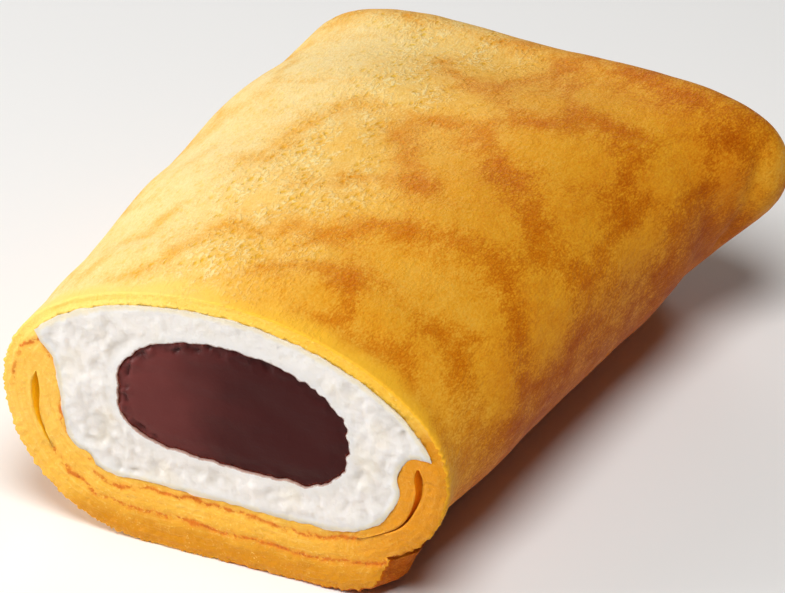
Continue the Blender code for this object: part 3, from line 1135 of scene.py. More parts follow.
@dataclass(frozen=True)
class CrumbFinish:
    """The cut edge of the sheet: moist yellow crumb, streaked along its layers, toasted at its seams."""

    arch_left: Colour = tint(251, 210, 106)
    arch_right: Colour = tint(246, 190, 62)
    upper: Colour = tint(248, 191, 80)
    lower: Colour = tint(243, 184, 62)
    foot: Colour = tint(210, 138, 8)
    right: Colour = tint(222, 140, 0)
    bright: Colour = tint(255, 222, 128)
    deep: Colour = tint(226, 150, 22)
    seam: Colour = tint(232, 144, 34)
    crust: Colour = tint(212, 108, 14)
    pit: Colour = tint(160, 70, 4)
    inner_left: Colour = tint(252, 196, 8)
    inner_right: Colour = tint(234, 142, 12)
    roughness: float = 0.42

    def material(self) -> bpy.types.Material:
        """Builds the finish.

        Returns:
            The material.
        """
        g = Graph("crepe_crumb")
        seam, toast, hollow = g.read(Layer.SEAM), g.read(Layer.TOAST), g.read(Layer.HOLLOW)
        run, depth = g.read(Layer.RUN), g.read(Layer.DEPTH)
        sheet = g.node("ShaderNodeCombineXYZ", {0: g.scaled(run, 0.07), 1: depth}).outputs[0]
        streak = g.swing(0.42, 2.0, 0.5, at=sheet)
        corner = g.node("ShaderNodeSeparateXYZ", {0: g.place})
        grain, crumb = g.swing(0.36, 2.0, 0.65), g.swing(0.95, 3.0, 0.65)

        height = g.total(corner.outputs["Z"], g.scaled(g.swing(4.0), 0.0007))
        colour = g.mixed(g.step(height, 0.003, 0.016), self.lower, self.upper)
        across = corner.outputs["X"]
        rightmost = g.scaled(g.step(across, 0.008, 0.026), g.step(height, 0.028, 0.023))
        colour = g.mixed(g.scaled(rightmost, 0.9), colour, self.right)
        base = g.step(height, 0.0072, 0.0016)
        colour = g.mixed(base, colour, self.foot)
        arch = g.mixed(g.step(across, -0.018, 0.016), self.arch_left, self.arch_right)
        colour = g.mixed(g.step(height, 0.024, 0.029), colour, arch)
        lively = g.maths("SUBTRACT", 1.0, g.scaled(g.maths("MAXIMUM", rightmost, base), 0.6))
        colour = g.mixed(g.scaled(g.step(streak, 0.0, -1.2), 0.20), colour, self.deep)
        colour = g.mixed(g.scaled(g.step(streak, 0.2, 1.2), g.scaled(lively, 0.24)), colour, self.bright)
        colour = g.mixed(g.scaled(g.step(crumb, 0.2, 1.3), g.scaled(lively, 0.16)), colour, self.bright)
        colour = g.mixed(g.scaled(g.step(grain, 0.5, 1.4), g.scaled(lively, 0.44)), colour, self.bright)
        colour = g.mixed(g.scaled(g.step(grain, -0.3, -1.3), 0.18), colour, self.deep)
        inner = g.mixed(g.step(across, -0.001, 0.001), self.inner_left, self.inner_right)
        colour = g.mixed(g.scaled(hollow, 0.9), colour, inner)
        off = g.total(seam, g.scaled(grain, 0.07), g.scaled(crumb, 0.06))
        dots = g.step(g.total(g.swing(0.75), g.scaled(toast, 0.9)), 0.0, 0.9)
        browned = g.scaled(g.step(off, 0.12, 0.85, 1.0, 0.0), toast)
        colour = g.mixed(g.scaled(browned, g.total(0.42, g.scaled(dots, 0.30))), colour, self.seam)
        line = g.scaled(g.step(off, 0.06, 0.42, 1.0, 0.0), g.scaled(dots, g.step(toast, 0.05, 0.5)))
        colour = g.mixed(g.scaled(line, 0.85), colour, self.crust)
        pits = g.scaled(g.step(off, 0.0, 0.16, 1.0, 0.0), g.step(g.total(g.swing(0.6), toast), 1.0, 1.6))
        colour = g.mixed(g.scaled(pits, 0.45), colour, self.pit)
        # Painted glints: small bright flecks on the wet crumb near the seams, in the lower part of the face.
        wet_glint = g.scaled(g.step(off, 0.25, 2.2, 1.0, 0.0), g.step(height, 0.0080, 0.0050))
        wet_glint = g.scaled(wet_glint, g.step(g.swing(1.8, 2.0), -0.1, 0.9))
        flecks = g.step(g.swing(0.32, 2.0), 0.45, 1.4)
        colour = g.mixed(g.scaled(flecks, g.scaled(wet_glint, 0.6)), colour, self.bright)

        gloss = g.total(g.scaled(crumb, 0.05), g.scaled(grain, 0.05), self.roughness)
        relief = g.total(g.scaled(grain, 0.22), g.scaled(crumb, 0.25), g.scaled(g.swing(0.17, 1.0), 0.08))
        low = g.bump(streak, 0.012, 0.8)
        g.set(Base_Color=colour, Roughness=gloss, Normal=g.bump(relief, 0.11, 0.8, low))
        g.set(Specular_IOR_Level=0.18, Subsurface_Weight=0.25, Subsurface_Scale=0.0008)
        g.set(Subsurface_Radius=(1.0, 0.6, 0.2))
        return g.material


@dataclass(frozen=True)
class CreamFinish:
    """Whipped cream, torn by the knife: off-white blobs with painted shade in their dimples and small holes,
    a moist gloss.
    """

    light: Colour = tint(232, 226, 220)
    shade: Colour = tint(215, 208, 199)
    warm: Colour = tint(233, 222, 203)
    soaked: Colour = tint(243, 219, 166)
    stain: Colour = tint(158, 96, 74)
    roughness: float = 0.34

    def material(self) -> bpy.types.Material:
        """Builds the finish.

        Returns:
            The material.
        """
        g = Graph("whipped_cream")
        hollow = g.read(Layer.HOLLOW)
        lump, froth = g.swing(2.4, 2.0, 0.5), g.swing(0.8, 2.0, 0.5)
        holes = g.step(g.cells(1.1, Cell.CENTRE, g.warped(1.0, 0.3)), 0.08, 0.26, 1.0, 0.0)
        holes = g.scaled(holes, g.step(g.swing(3.0), 0.0, 0.9))
        # Painted shade: sunk parts of the cut face, and below them its small holes, are mixed towards the
        # shade colour.
        sunk = g.total(hollow, g.scaled(lump, 0.08), g.scaled(froth, 0.05))
        colour = g.mixed(g.step(sunk, 0.15, 1.0), self.light, self.shade)
        colour = g.mixed(g.scaled(g.step(g.swing(6.0), 0.0, 1.2), 0.5), colour, self.warm)
        colour = g.mixed(g.scaled(holes, 0.35), colour, self.shade)
        near = g.total(g.read(Layer.SEAM), g.scaled(froth, 0.12), g.scaled(lump, 0.10))
        colour = g.mixed(g.step(near, 0.10, 0.75, 0.55, 0.0), colour, self.soaked)
        smudge = g.total(g.read(Layer.TOAST), g.scaled(g.swing(0.5, 2.0, 0.6), 0.16))
        colour = g.mixed(g.scaled(g.step(smudge, 0.45, 1.0), 0.75), colour, self.stain)
        gloss = g.total(g.scaled(lump, 0.04), g.scaled(froth, 0.04), self.roughness)
        low = g.bump(lump, 0.030, 0.8)
        fine = g.total(g.scaled(froth, 0.30), g.scaled(g.swing(0.3, 1.0), 0.04), g.scaled(holes, -0.6))
        g.set(Base_Color=colour, Roughness=gloss, Normal=g.bump(fine, 0.08, 0.8, low))
        g.set(Specular_IOR_Level=0.40, Subsurface_Weight=0.7, Subsurface_Scale=0.0024)
        g.set(Subsurface_Radius=(1.0, 0.9, 0.75))
        return g.material


@dataclass(frozen=True)
class PasteFinish:
    """A smooth dark paste, satin, with faint drags of the knife; a painted sheen towards its left, painted
    shade in the groove by its rim, and a rim partly reddish of its own and partly a painted highlight.
    """

    body: Colour = tint(60, 17, 15)
    # raised: the lighter colour of the painted sheen towards the left.
    raised: Colour = tint(102, 46, 43)
    # rim: partly the paste's own reddish edge, partly a painted highlight.
    rim: Colour = tint(136, 54, 38)
    # deep: painted shade for the groove by the rim.
    deep: Colour = tint(36, 10, 8)
    roughness: float = 0.46

    def material(self) -> bpy.types.Material:
        """Builds the finish.

        Returns:
            The material.
        """
        g = Graph("dark_paste")
        rim, hollow = g.read(Layer.TOAST), g.read(Layer.HOLLOW)
        cloud, grain = g.swing(7.0), g.swing(0.35, 2.0, 0.6)
        inputs = {"Vector": g.place, "Rotation": (0.0, 0.3, 0.0), "Scale": (0.4, 1.0, 1.0)}
        drag = g.node("ShaderNodeMapping", inputs)
        smear = g.swing(2.4 * MM, 3.0, 0.5, at=drag.outputs[0])
        across = g.node("ShaderNodeSeparateXYZ", {0: g.place}).outputs["X"]
        # Painted sheen: the paste is painted lighter towards the left, where the light falls.
        lit = g.total(g.step(across, 0.010, -0.016, 0.0, 1.0), g.scaled(cloud, 0.08), g.scaled(smear, 0.03))
        colour = g.mixed(g.step(lit, 0.05, 1.05), self.body, self.raised)
        # Painted shade in the groove by the rim.
        colour = g.mixed(g.scaled(hollow, 0.8), colour, self.deep)
        # The rim is painted lighter and redder: partly the paste's own reddish edge, partly a painted
        # highlight.
        edge = g.total(rim, g.scaled(grain, 0.22))
        colour = g.mixed(g.scaled(g.step(edge, 0.50, 1.05), 0.65), colour, self.rim)
        wet = g.maths("MAXIMUM", rim, hollow)
        gloss = g.total(g.scaled(smear, 0.03), g.scaled(grain, 0.03), g.scaled(wet, -0.26), self.roughness)
        relief = g.total(g.scaled(smear, 0.20), g.scaled(grain, g.total(0.05, g.scaled(wet, 0.25))))
        g.set(Base_Color=colour, Roughness=gloss, Normal=g.bump(relief, 0.14, 0.8, g.bump(cloud, 0.10, 0.6)))
        g.set(Specular_IOR_Level=0.13, Subsurface_Weight=0.05, Subsurface_Scale=0.0005)
        g.set(Subsurface_Radius=(1.0, 0.3, 0.2))
        return g.material


@dataclass(frozen=True)
class FloorFinish:
    """A plain pale floor."""

    colour: Colour = tint(244, 243, 241)
    roughness: float = 0.75

    def material(self) -> bpy.types.Material:
        """Builds the finish.

        Returns:
            The material.
        """
        g = Graph("pale_floor")
        faint = g.grain(40.0, 2.0)
        g.set(Base_Color=g.mixed(g.scaled(faint, 0.05), self.colour, tint(232, 231, 229)))
        g.set(Roughness=self.roughness, Specular_IOR_Level=0.2)
        return g.material


@dataclass
class CrepeSheet:
    """The sheet: its browned outside, its cut edge with folded layers, and the hollow for the cream."""

    form: RollForm
    stations: int = 86
    crowding: float = 1.35
    lip_radius: float = 0.50 * MM
    lip_rings: int = 6
    lip_follow: float = 2.8 * MM
    cell: float = 0.24 * MM
    rim_rings: int = 12
    dome_rings: int = 14
    hollow_depth: float = 0.0300
    hollow_stations: int = 6
    slit_depth: float = 0.0016
    jag: float = 0.46 * MM
    jag_size: float = 0.64 * MM
    jag_reach: float = 1.8 * MM
    front: float = field(init=False)

    def __post_init__(self) -> None:
        """Notes where the cut stands."""
        self.front = self.form.depth_at(0.0)

    def build(self) -> bpy.types.Object:
        """Makes the sheet's mesh.

        Returns:
            The piece, without its finishes.
        """
        shell = Shell()
        outline = self._ragged(self.form.outer_section(0.0), self.lip_radius, 1.0)
        outer = shell.ring(outline, self.front)
        bore = shell.ring(self._ragged(self.form.cream_section(0.0), 0.0, -0.6), self.front)
        slits = [shell.ring(self._slit_section(s), self.front) for s in (LEFT_SLIT, RIGHT_SLIT)]
        faces = shell.plate([outer, bore, *slits], self.front, self.cell)
        plate = {v for f in faces for v in f.verts}
        skin = shell.grow(outer, self._skin_sections())
        shell.gather(skin[-1])
        for face in {f for v in skin[1] for f in v.link_faces}:
            face.material_index = Zone.CRUMB.value
        self._line_hollow(shell, bore)
        for ring in slits:
            self._line_slit(shell, ring)
        bmesh.ops.recalc_face_normals(shell.bm, faces=shell.bm.faces)
        shell.bm.verts.index_update()
        self._mark_and_raise(shell, [[v for v in ring if v.is_valid] for ring in skin], plate)
        LOG.info("sheet: %d faces", len(shell.bm.faces))
        return shell.finish("crepe_sheet")

    def _ragged(self, section: list[Point2], inset: float, strength: float) -> list[Point2]:
        """An outline with the small beads that a knife leaves in the crumb.

        Args:
            section: The plain outline, anticlockwise.
            inset: How far inside it the beads stand.
            strength: How big they are, from 0 to 1, or below 0 for the edge of the hollow.

        Returns:
            The outline with its beads.
        """
        by = []
        for x, z in section:
            spot = Vector((x, 0.3, z)) / self.jag_size
            bead = min(1.7 * abs(noise.noise(spot)) + 0.5 * noise.noise(spot * 2.3) - 0.42, 0.5)
            calm = 1.0 - 0.82 * ease((z - 0.021) / 0.008) if strength > 0.0 else 1.0
            by.append(inset - strength * calm * self.jag * bead)
        return [(x, max(z, 0.0)) for x, z in inset_by(section, by)]

    def _slit_section(self, gap: Sequence[tuple[float, float, float]], steps: int = 40) -> list[Point2]:
        """The outline of a slit: out along one wall and back along the other.

        Args:
            gap: (across, up, width) along its middle.
            steps: Steps along each wall.

        Returns:
            The outline.
        """
        line = smooth_line(gap, steps)
        right_wall, left_wall = [], []
        for k, here in enumerate(line):
            before, after = line[max(k - 1, 0)], line[min(k + 1, steps)]
            run = Vector((after.x - before.x, after.y - before.y)).normalized()
            half = max(here.z, 0.00006) / 2
            right_wall.append((here.x + run.y * half, here.y - run.x * half))
            left_wall.append((here.x - run.y * half, here.y + run.x * half))
        return right_wall + left_wall[::-1]

    def _skin_sections(self) -> list[tuple[list[Point2], float]]:
        """Draws the sections of the outside, from just behind the lip to the closed end's middle.

        Returns:
            Each section with its place along the roll.
        """
        form, made = self.form, []
        for k in range(1, self.lip_rings + 1):
            turn = math.pi / 2 * k / self.lip_rings
            deep = self.lip_radius * (1.0 - math.cos(turn))
            section = form.outer_section(deep / form.length)
            inset = self.lip_radius * (1.0 - math.sin(turn))
            made.append((self._toothed(section, deep, inset), self.front + deep))
        for k in range(1, self.stations + 1):
            share = form.body_end * (k / self.stations) ** self.crowding
            deep = share * form.length
            if deep > self.lip_radius * 1.2:
                made.append((self._toothed(form.outer_section(share), deep, 0.0), form.depth_at(share)))
        last = form.outer_section(form.body_end)
        for k in range(1, self.rim_rings + 1):
            turn = math.pi / 2 * k / self.rim_rings
            size = 1.0 - form.end_round * (1.0 - math.cos(turn)) / form.end_shrink_span
            y = form.depth_at(form.body_end) + form.end_round * math.sin(turn)
            made.append((shrunk(last, size, form.middle), y))
        edge = 1.0 - form.end_round / form.end_shrink_span
        for k in range(1, self.dome_rings + 1):
            share = k / self.dome_rings
            y = form.depth_at(1.0) - form.end_dome * (1.0 - share) ** 2
            made.append((shrunk(last, edge * (1.0 - 0.97 * share), form.middle), y))
        return made

    def _toothed(self, section: list[Point2], deep: float, inset: float) -> list[Point2]:
        """A section of the outside, with the beads of the cut fading behind it.

        Args:
            section: The plain outline.
            deep: How far behind the cut it stands.
            inset: How far in the rounding of the lip draws it.

        Returns:
            The outline, plain where the beads have gone.
        """
        fade = (1.0 - ease(deep / self.jag_reach)) ** 2
        return self._ragged(section, inset, fade) if fade > 0.0 or inset > 0.0 else section

    def _line_hollow(self, shell: Shell, ring: list[bmesh.types.BMVert]) -> None:
        """Lines the hollow behind the cream's face.

        Args:
            shell: The mesh.
            ring: The hollow's edge at the cut.
        """
        sections = []
        for k in range(1, self.hollow_stations + 1):
            share = self.hollow_depth / self.form.length * k / self.hollow_stations
            sections.append((self.form.cream_section(share), self.form.depth_at(share)))
        shell.close(shell.grow(ring, sections, Zone.CRUMB)[-1], Zone.CRUMB)

    def _line_slit(self, shell: Shell, ring: list[bmesh.types.BMVert]) -> None:
        """Lines a slit between two folds, narrower as it gets deeper.

        Args:
            shell: The mesh.
            ring: The slit's edge at the cut.
        """
        section = [(v.co.x, v.co.z) for v in ring]
        count = len(section)
        middle = [
            ((section[k][0] + section[count - 1 - k][0]) / 2, (section[k][1] + section[count - 1 - k][1]) / 2)
            for k in range(count)
        ]
        sections = []
        for share in (0.03, 0.10, 0.25, 0.5, 1.0):
            keep = 1.0 - 0.55 * share
            pairs = zip(section, middle)
            narrow = [(m[0] + (p[0] - m[0]) * keep, m[1] + (p[1] - m[1]) * keep) for p, m in pairs]
            sections.append((narrow, self.front + self.slit_depth * share))
        rings = shell.grow(ring, sections, Zone.CRUMB)
        shell.close(rings[-1], Zone.CRUMB)
        for depth, inner in zip((0.25, 0.5, 0.8, 1.0, 1.0, 1.0), rings):
            for vert in inner:
                vert[shell.layers[Layer.HOLLOW]] = depth

    def _mark_and_raise(
        self, shell: Shell, skin: Sequence[Sequence[bmesh.types.BMVert]], plate: set[bmesh.types.BMVert]
    ) -> None:
        """Gives every vertex its browning and its relief.

        Args:
            shell: The mesh.
            skin: The rings of the outside, from the cut to the closed end.
            plate: The vertices of the cut face.
        """
        verts = list(shell.bm.verts)
        index = {v: i for i, v in enumerate(verts)}
        places = shell.positions()
        normals = np.array([v.normal for v in verts])
        moved = places.copy()
        count = len(verts)
        values = {layer: np.zeros(count) for layer in Layer}
        values[Layer.HOLLOW] = np.array([v[shell.layers[Layer.HOLLOW]] for v in verts])

        sheet = SkinMap(self.form, skin, index, places)
        rows = sheet.rows
        values[Layer.BROWNED][rows] = sheet.browning()
        values[Layer.TONE_SHEEN_SHADE][rows] = sheet.warmth()
        values[Layer.LIP][rows] = sheet.lip()
        moved[rows] += normals[rows] * sheet.relief()[:, None]

        cut = np.array(sorted(index[v] for v in plate))
        face = CutFace(places[cut], [v.co.copy() for v in skin[0]])
        values[Layer.SEAM][:] = 3.0
        values[Layer.SEAM][cut], values[Layer.TOAST][cut] = face.seams()
        values[Layer.RUN][cut] = face.run
        values[Layer.DEPTH][cut] = face.depth
        back = np.zeros(count)
        back[cut] = face.sunk()
        moved[cut, 1] += back[cut]
        self._follow_edge(skin, index, places, moved, back)
        for ring in skin[1 : self.lip_rings + 1]:
            values[Layer.RUN][[index[v] for v in ring]] = face.outline_run

        for vert, place in zip(verts, moved):
            vert.co = place
        for layer, numbers in values.items():
            shell.write(layer, numbers)

    def _follow_edge(
        self,
        skin: Sequence[Sequence[bmesh.types.BMVert]],
        index: dict[bmesh.types.BMVert, int],
        places: np.ndarray,
        moved: np.ndarray,
        back: np.ndarray,
    ) -> None:
        """Draws the skin near the cut back with the edge of the cut face, so that the lip stays round.

        Args:
            skin: The rings of the outside, from the cut on.
            index: The number of each vertex.
            places: Where every vertex was.
            moved: Where every vertex goes, changed here.
            back: How far back each vertex of the cut face goes.
        """
        edge = back[[index[v] for v in skin[0]]]
        for ring in skin[1:]:
            numbers = [index[v] for v in ring]
            deep = places[numbers[0], 1] - self.front
            if deep >= self.lip_follow:
                return
            moved[numbers, 1] += edge * (1.0 - deep / self.lip_follow) ** 2

    def dress(self, piece: bpy.types.Object) -> None:
        """Gives the sheet its finishes and its place in the frame."""
        piece.data.materials.append(SkinFinish().material())
        piece.data.materials.append(CrumbFinish().material())
        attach(piece, "root")
        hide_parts("crepe")


class SkinMap:
    """The outside of the sheet, laid out by distance from the cut and from the crest."""

    def __init__(
        self,
        form: RollForm,
        skin: Sequence[Sequence[bmesh.types.BMVert]],
        index: dict[bmesh.types.BMVert, int],
        places: np.ndarray,
    ) -> None:
        """Measures every vertex of the outside.

        Args:
            form: The roll's shape.
            skin: Its rings, from the cut to the closed end.
            index: The number of each vertex.
            places: Where every vertex is.
        """
        self.form = form
        rows, deep, girth, size = [], [], [], []
        body = 0.0
        for ring in skin:
            numbers = [index[v] for v in ring]
            section = places[numbers][:, (0, 2)]
            if len(ring) < 4:
                rows += numbers
                deep += list(places[numbers][:, 1])
                girth += [0.0] * len(ring)
                size += [0.0] * len(ring)
                continue
            run = girth_of(section)
            crest = int(np.argmin(np.abs(section[: form.arch_steps + 1, 0])))
            whole = run[-1] + float(np.linalg.norm(section[-1] - section[0]))
            off = run - run[crest]
            off = np.where(off > whole / 2, off - whole, off)
            body = max(body, whole)
            share = whole / body if places[numbers[0], 1] > form.depth_at(form.body_end) else 1.0
            rows += numbers
            deep += list(places[numbers][:, 1])
            girth += list(-off / max(share, 0.02))
            size += [share] * len(ring)
        self.rows = np.array(rows)
        self.places = places[self.rows]
        self.depth = (np.array(deep) - form.depth_at(0.0)) / MM
        self.girth = np.array(girth) / MM
        self.size = np.array(size)

    def _map(self, wobble: float = 0.9, size: float = 5.0) -> np.ndarray:
        """The map with its lines made uneven, in millimetres."""
        shift_a = field_of(self.places, size * MM, 1.0) * wobble
        shift_b = field_of(self.places, size * MM, 2.0) * wobble
        return np.column_stack([self.depth + shift_a, self.girth + shift_b])

    def browning(self) -> np.ndarray:
        """Works out how browned the skin is, with painted shade low on the right side and on the flap's side.

        Returns:
            One number a vertex, from 0 to a little over 1.
        """
        spots = self._map()
        light = np.zeros(len(spots))
        for cell in PALE_CELLS:
            off = distance_to_path(spots, cell.path)
            light = np.maximum(light, 1.0 - eased(off, 0.25 * cell.width, 1.45 * cell.width))
        plain = np.ones(len(spots))
        for mark in SKIN_MARKS:
            off = distance_to_path(spots, mark.path)
            plain *= 1.0 - 0.62 * mark.depth * np.exp(-((off / (0.85 * mark.width)) ** 2))
            plain *= 1.0 - 0.24 * mark.depth * np.exp(-((off / (2.3 * mark.width)) ** 2))
        # The broad browning between the marks rises low on the right side: partly the skin's own browning,
        # partly painted shade.
        girths = (-30.0, -12.0, 8.0, 24.0, 40.0, 48.0, 64.0, 80.0)
        heats = (0.06, 0.14, 0.20, 0.25, 0.33, 0.62, 0.5, 0.06)
        between = np.interp(self.girth, girths, heats)
        between = between * (0.35 + 0.65 * eased(self.depth, 2.0, 9.0)) + 0.10 * eased(self.depth, 82.0, 90.0)
        between *= 1.0 - 0.6 * eased(self.depth, 76.0, 86.0) * eased(self.girth, 34.0, 42.0)
        heat = 1.0 - plain * (1.0 - between * (1.0 - light))
        heat *= 1.0 - 0.35 * light
        traced = eased(self.girth, -27.0, -20.0) * (1.0 - eased(self.girth, 40.0, 45.0))
        traced *= 1.0 - eased(self.depth, 88.0, 93.0)
        bent = self.places.copy()
        for axis in range(3):
            bent[:, axis] += 3.5 * MM * field_of(self.places, 8.0 * MM, 7.0 + axis)
        bent[:, 1] *= 0.8
        _, gap = cell_field(bent, 15.0 * MM, 3.0)
        net = np.exp(-((gap / 0.14) ** 2)) * (0.75 + 0.7 * field_of(self.places, 10.0 * MM, 11.0))
        heat = np.maximum(heat, 0.9 * net * (1.0 - 0.85 * traced) * eased(self.depth, 2.0, 7.0))
        fold = np.exp(-(((self._flap_edge() - 0.4) / 1.1) ** 2)) * eased(self.depth, 90.5, 95.0)
        heat = np.maximum(heat, 0.75 * fold)
        uneven = 1.0 + 0.5 * field_of(self.places, 5.0 * MM, 5.0) + 0.2 * field_of(self.places, 2.0 * MM, 6.0)
        heat = heat * uneven
        # Painted shade: the side of the tucked-under flap is browned almost fully.
        return np.clip(heat + (1.05 - heat) * self.shaded_flap_side(), 0.0, 1.4)

    def shaded_flap_side(self) -> np.ndarray:
        """How much each vertex belongs to the side of the tucked-under flap, where the browning paints shade.
        """
        side = eased(self.girth, 53.0, 57.5) * (1.0 - eased(self.girth, 66.0, 77.0))
        return side * (1.0 - 0.5 * eased(self.depth, 8.0, 30.0))

    def warmth(self) -> np.ndarray:
        """Works out how far the plain skin is from pale over golden and orange to russet. The pale of the
        left slope is partly the skin's own tone and partly a painted sheen; the russet low on the right side
        is partly its own browning and partly painted shade.

        Returns:
            One number a vertex, from 0 to a little over 1.
        """
        # Tone round the roll: pale on the left slope, partly own tone and partly painted sheen; russet low on
        # the right, partly own browning and partly painted shade.
        far_left = ((-84, 1.0), (-70, 0.86), (-58, 0.72), (-44, 0.58))
        left = ((-32, 0.22), (-26, 0.02), (-16, 0.12), (-7, 0.30))
        right = ((4, 0.52), (14, 0.68), (28, 0.76), (36, 0.82))
        far_right = ((43, 0.96), (50, 1.10), (62, 1.12), (84, 1.0))
        round_roll = np.interp(self.girth, *np.array(far_left + left + right + far_right).T)
        far = 0.06 * eased(self.depth, 15.0, 75.0) * eased(self.girth, -20.0, 0.0)
        near = 0.16 * (1.0 - eased(self.depth, 4.0, 26.0)) * eased(self.girth, 15.0, 34.0)
        lobe = 0.30 * eased(self.depth, 74.0, 86.0) * eased(self.girth, 34.0, 42.0)
        tone = round_roll + far - near - lobe
        tone += (0.55 - tone) * eased(1.0 - self.size, 0.15, 0.75)
        rim = eased(self.depth, 80.0, 93.0) * eased(-self.girth, 8.0, 18.0)
        tone += np.maximum(0.46 - tone, 0.0) * rim
        return np.clip(tone + 0.12 * field_of(self.places, 13.0 * MM, 12.0), 0.0, 1.1)

    def lip(self) -> np.ndarray:
        """How much each vertex belongs to the plain band along the cut."""
        reach = 3.4 + 1.6 * field_of(self.places, 9.0 * MM, 13.0)
        reach += 1.0 * field_of(self.places, 3.0 * MM, 14.0)
        reach = reach * (1.0 - 0.75 * eased(self.girth, 26.0, 36.0))
        return (1.0 - eased(self.depth, reach - 2.4, reach + 1.6)) * (1.0 - eased(self.girth, 50.0, 56.0))

    def relief(self) -> np.ndarray:
        """Works out the soft lumps, the peel, the crease and the closed end's folds.

        Returns:
            How far each vertex stands out, in metres.
        """
        free = eased(self.places[:, 2], 0.2 * MM, 3.0 * MM)
        behind = eased(self.depth, 1.0, 9.0)
        lumps = 0.26 * field_of(self.places, 17.0 * MM, 20.0) + 0.14 * field_of(self.places, 7.0 * MM, 21.0)
        peel = 0.05 * field_of(self.places, 3.0 * MM, 22.0)
        total = behind * lumps + peel * eased(self.depth, 0.0, 1.5)
        spots = np.column_stack([self.depth, self.girth])
        crease = distance_to_path(spots, ((84.0, 38.0), (81.0, 42.0), (78.5, 47.0)))
        total -= 0.75 * np.exp(-((crease / 1.5) ** 2))
        total += 1.15 * np.exp(-((np.hypot(self.depth - 86.0, self.girth - 46.5) / 6.5) ** 2))
        total += 0.22 * field_of(self.places, 1.0 * MM, 23.0) * self.shaded_flap_side()
        return total * free * MM - 0.10 * MM * behind + self._tuck() * MM

    def _flap_edge(self) -> np.ndarray:
        """How far to the right of the closed end's flap edge each vertex is, in millimetres."""
        x, z = self.places[:, 0] / MM, self.places[:, 2] / MM
        return x - (5.0 - 0.25 * (z - 17.0) + 1.2 * np.sin(z / 4.5))

    def _tuck(self) -> np.ndarray:
        """Works out the folds of the closed end: one flap over the other, with soft gathers.

        Returns:
            How far each vertex stands out, in millimetres.
        """
        end = eased(self.depth, 90.5, 96.5)
        x, z = self.places[:, 0] / MM, self.places[:, 2] / MM
        edge = self._flap_edge()
        step = -0.75 * eased(edge, -0.5, 0.6) - 0.35 * np.exp(-(((edge - 0.5) / 0.7) ** 2))
        turn = np.arctan2(z - 16.5, x - 1.0)
        gathers = -0.35 * np.maximum(0.0, np.sin(turn * 7.0 + 1.3 * np.sin(turn * 2.0))) ** 3
        rim = eased(np.hypot((x - 1.0) / 2.0, z - 16.5), 3.0, 9.0)
        return end * (step * eased(z, 2.0, 6.0) + gathers * rim)


class CutFace:
    """The cut edge of the sheet, measured from its outline and from the lines between its layers."""

    def __init__(self, places: np.ndarray, outline: Sequence[Vector]) -> None:
        """Measures every vertex of the cut face.

        Args:
            places: Where the vertices are.
            outline: The points round the outside.
        """
        self.places = places
        self.flat = places[:, (0, 2)] / MM
        tree = kdtree.KDTree(len(outline))
        for number, point in enumerate(outline):
            tree.insert(point, number)
        tree.balance()
        found = [tree.find(p) for p in places]
        self.outline_run = girth_of([(p.x, p.z) for p in outline]) / MM
        self.run = self.outline_run[np.array([f[1] for f in found])]
        self.depth = np.array([f[2] for f in found]) / MM
        wobble = np.column_stack([field_of(places, 1.6 * MM, 31.0), field_of(places, 1.6 * MM, 32.0)])
        self.wavy = self.flat + 0.45 * wobble

    def seams(self) -> tuple[np.ndarray, np.ndarray]:
        """Finds the nearest line between layers for each vertex.

        Returns:
            How far off it is, in millimetres up to 3, and how browned it is.
        """
        nearest = np.full(len(self.flat), 3.0)
        browned = np.zeros(len(self.flat))
        for line in CUT_LINES:
            off = distance_to_path(self.wavy, line.path)
            closer = off < nearest
            nearest[closer] = off[closer]
            browned[closer] = line.toast
        patchy = 0.90 + 0.6 * field_of(self.places, 2.6 * MM, 34.0)
        return nearest, np.clip(browned * patchy, 0.0, 1.0)

    def sunk(self) -> np.ndarray:
        """Works out the grooves between layers, the rounded layers and the rough crumb.

        Returns:
            How far back each vertex lies, in metres.
        """
        upper = eased(self.flat[:, 1], 19.0, 27.0)
        back = (0.20 + 0.50 * upper) * np.exp(-((self.depth / (0.50 + 0.40 * upper)) ** 2))
        dotted = 0.30 + 0.70 * eased(field_of(self.places, 0.62 * MM, 37.0), -0.15, 0.35)
        for line in CUT_LINES:
            off = distance_to_path(self.wavy, line.path)
            back = np.maximum(back, 0.45 * line.groove * dotted * np.exp(-((off / (1.3 * line.width)) ** 2)))
            back = np.maximum(back, 0.30 * line.groove * np.exp(-((off / (3.6 * line.width)) ** 2)))
        crumb = 0.10 * field_of(self.places, 0.75 * MM, 35.0) + 0.12 * field_of(self.places, 2.2 * MM, 36.0)
        crumb *= 1.0 - 0.6 * upper
        return (back + crumb + 0.05) * MM


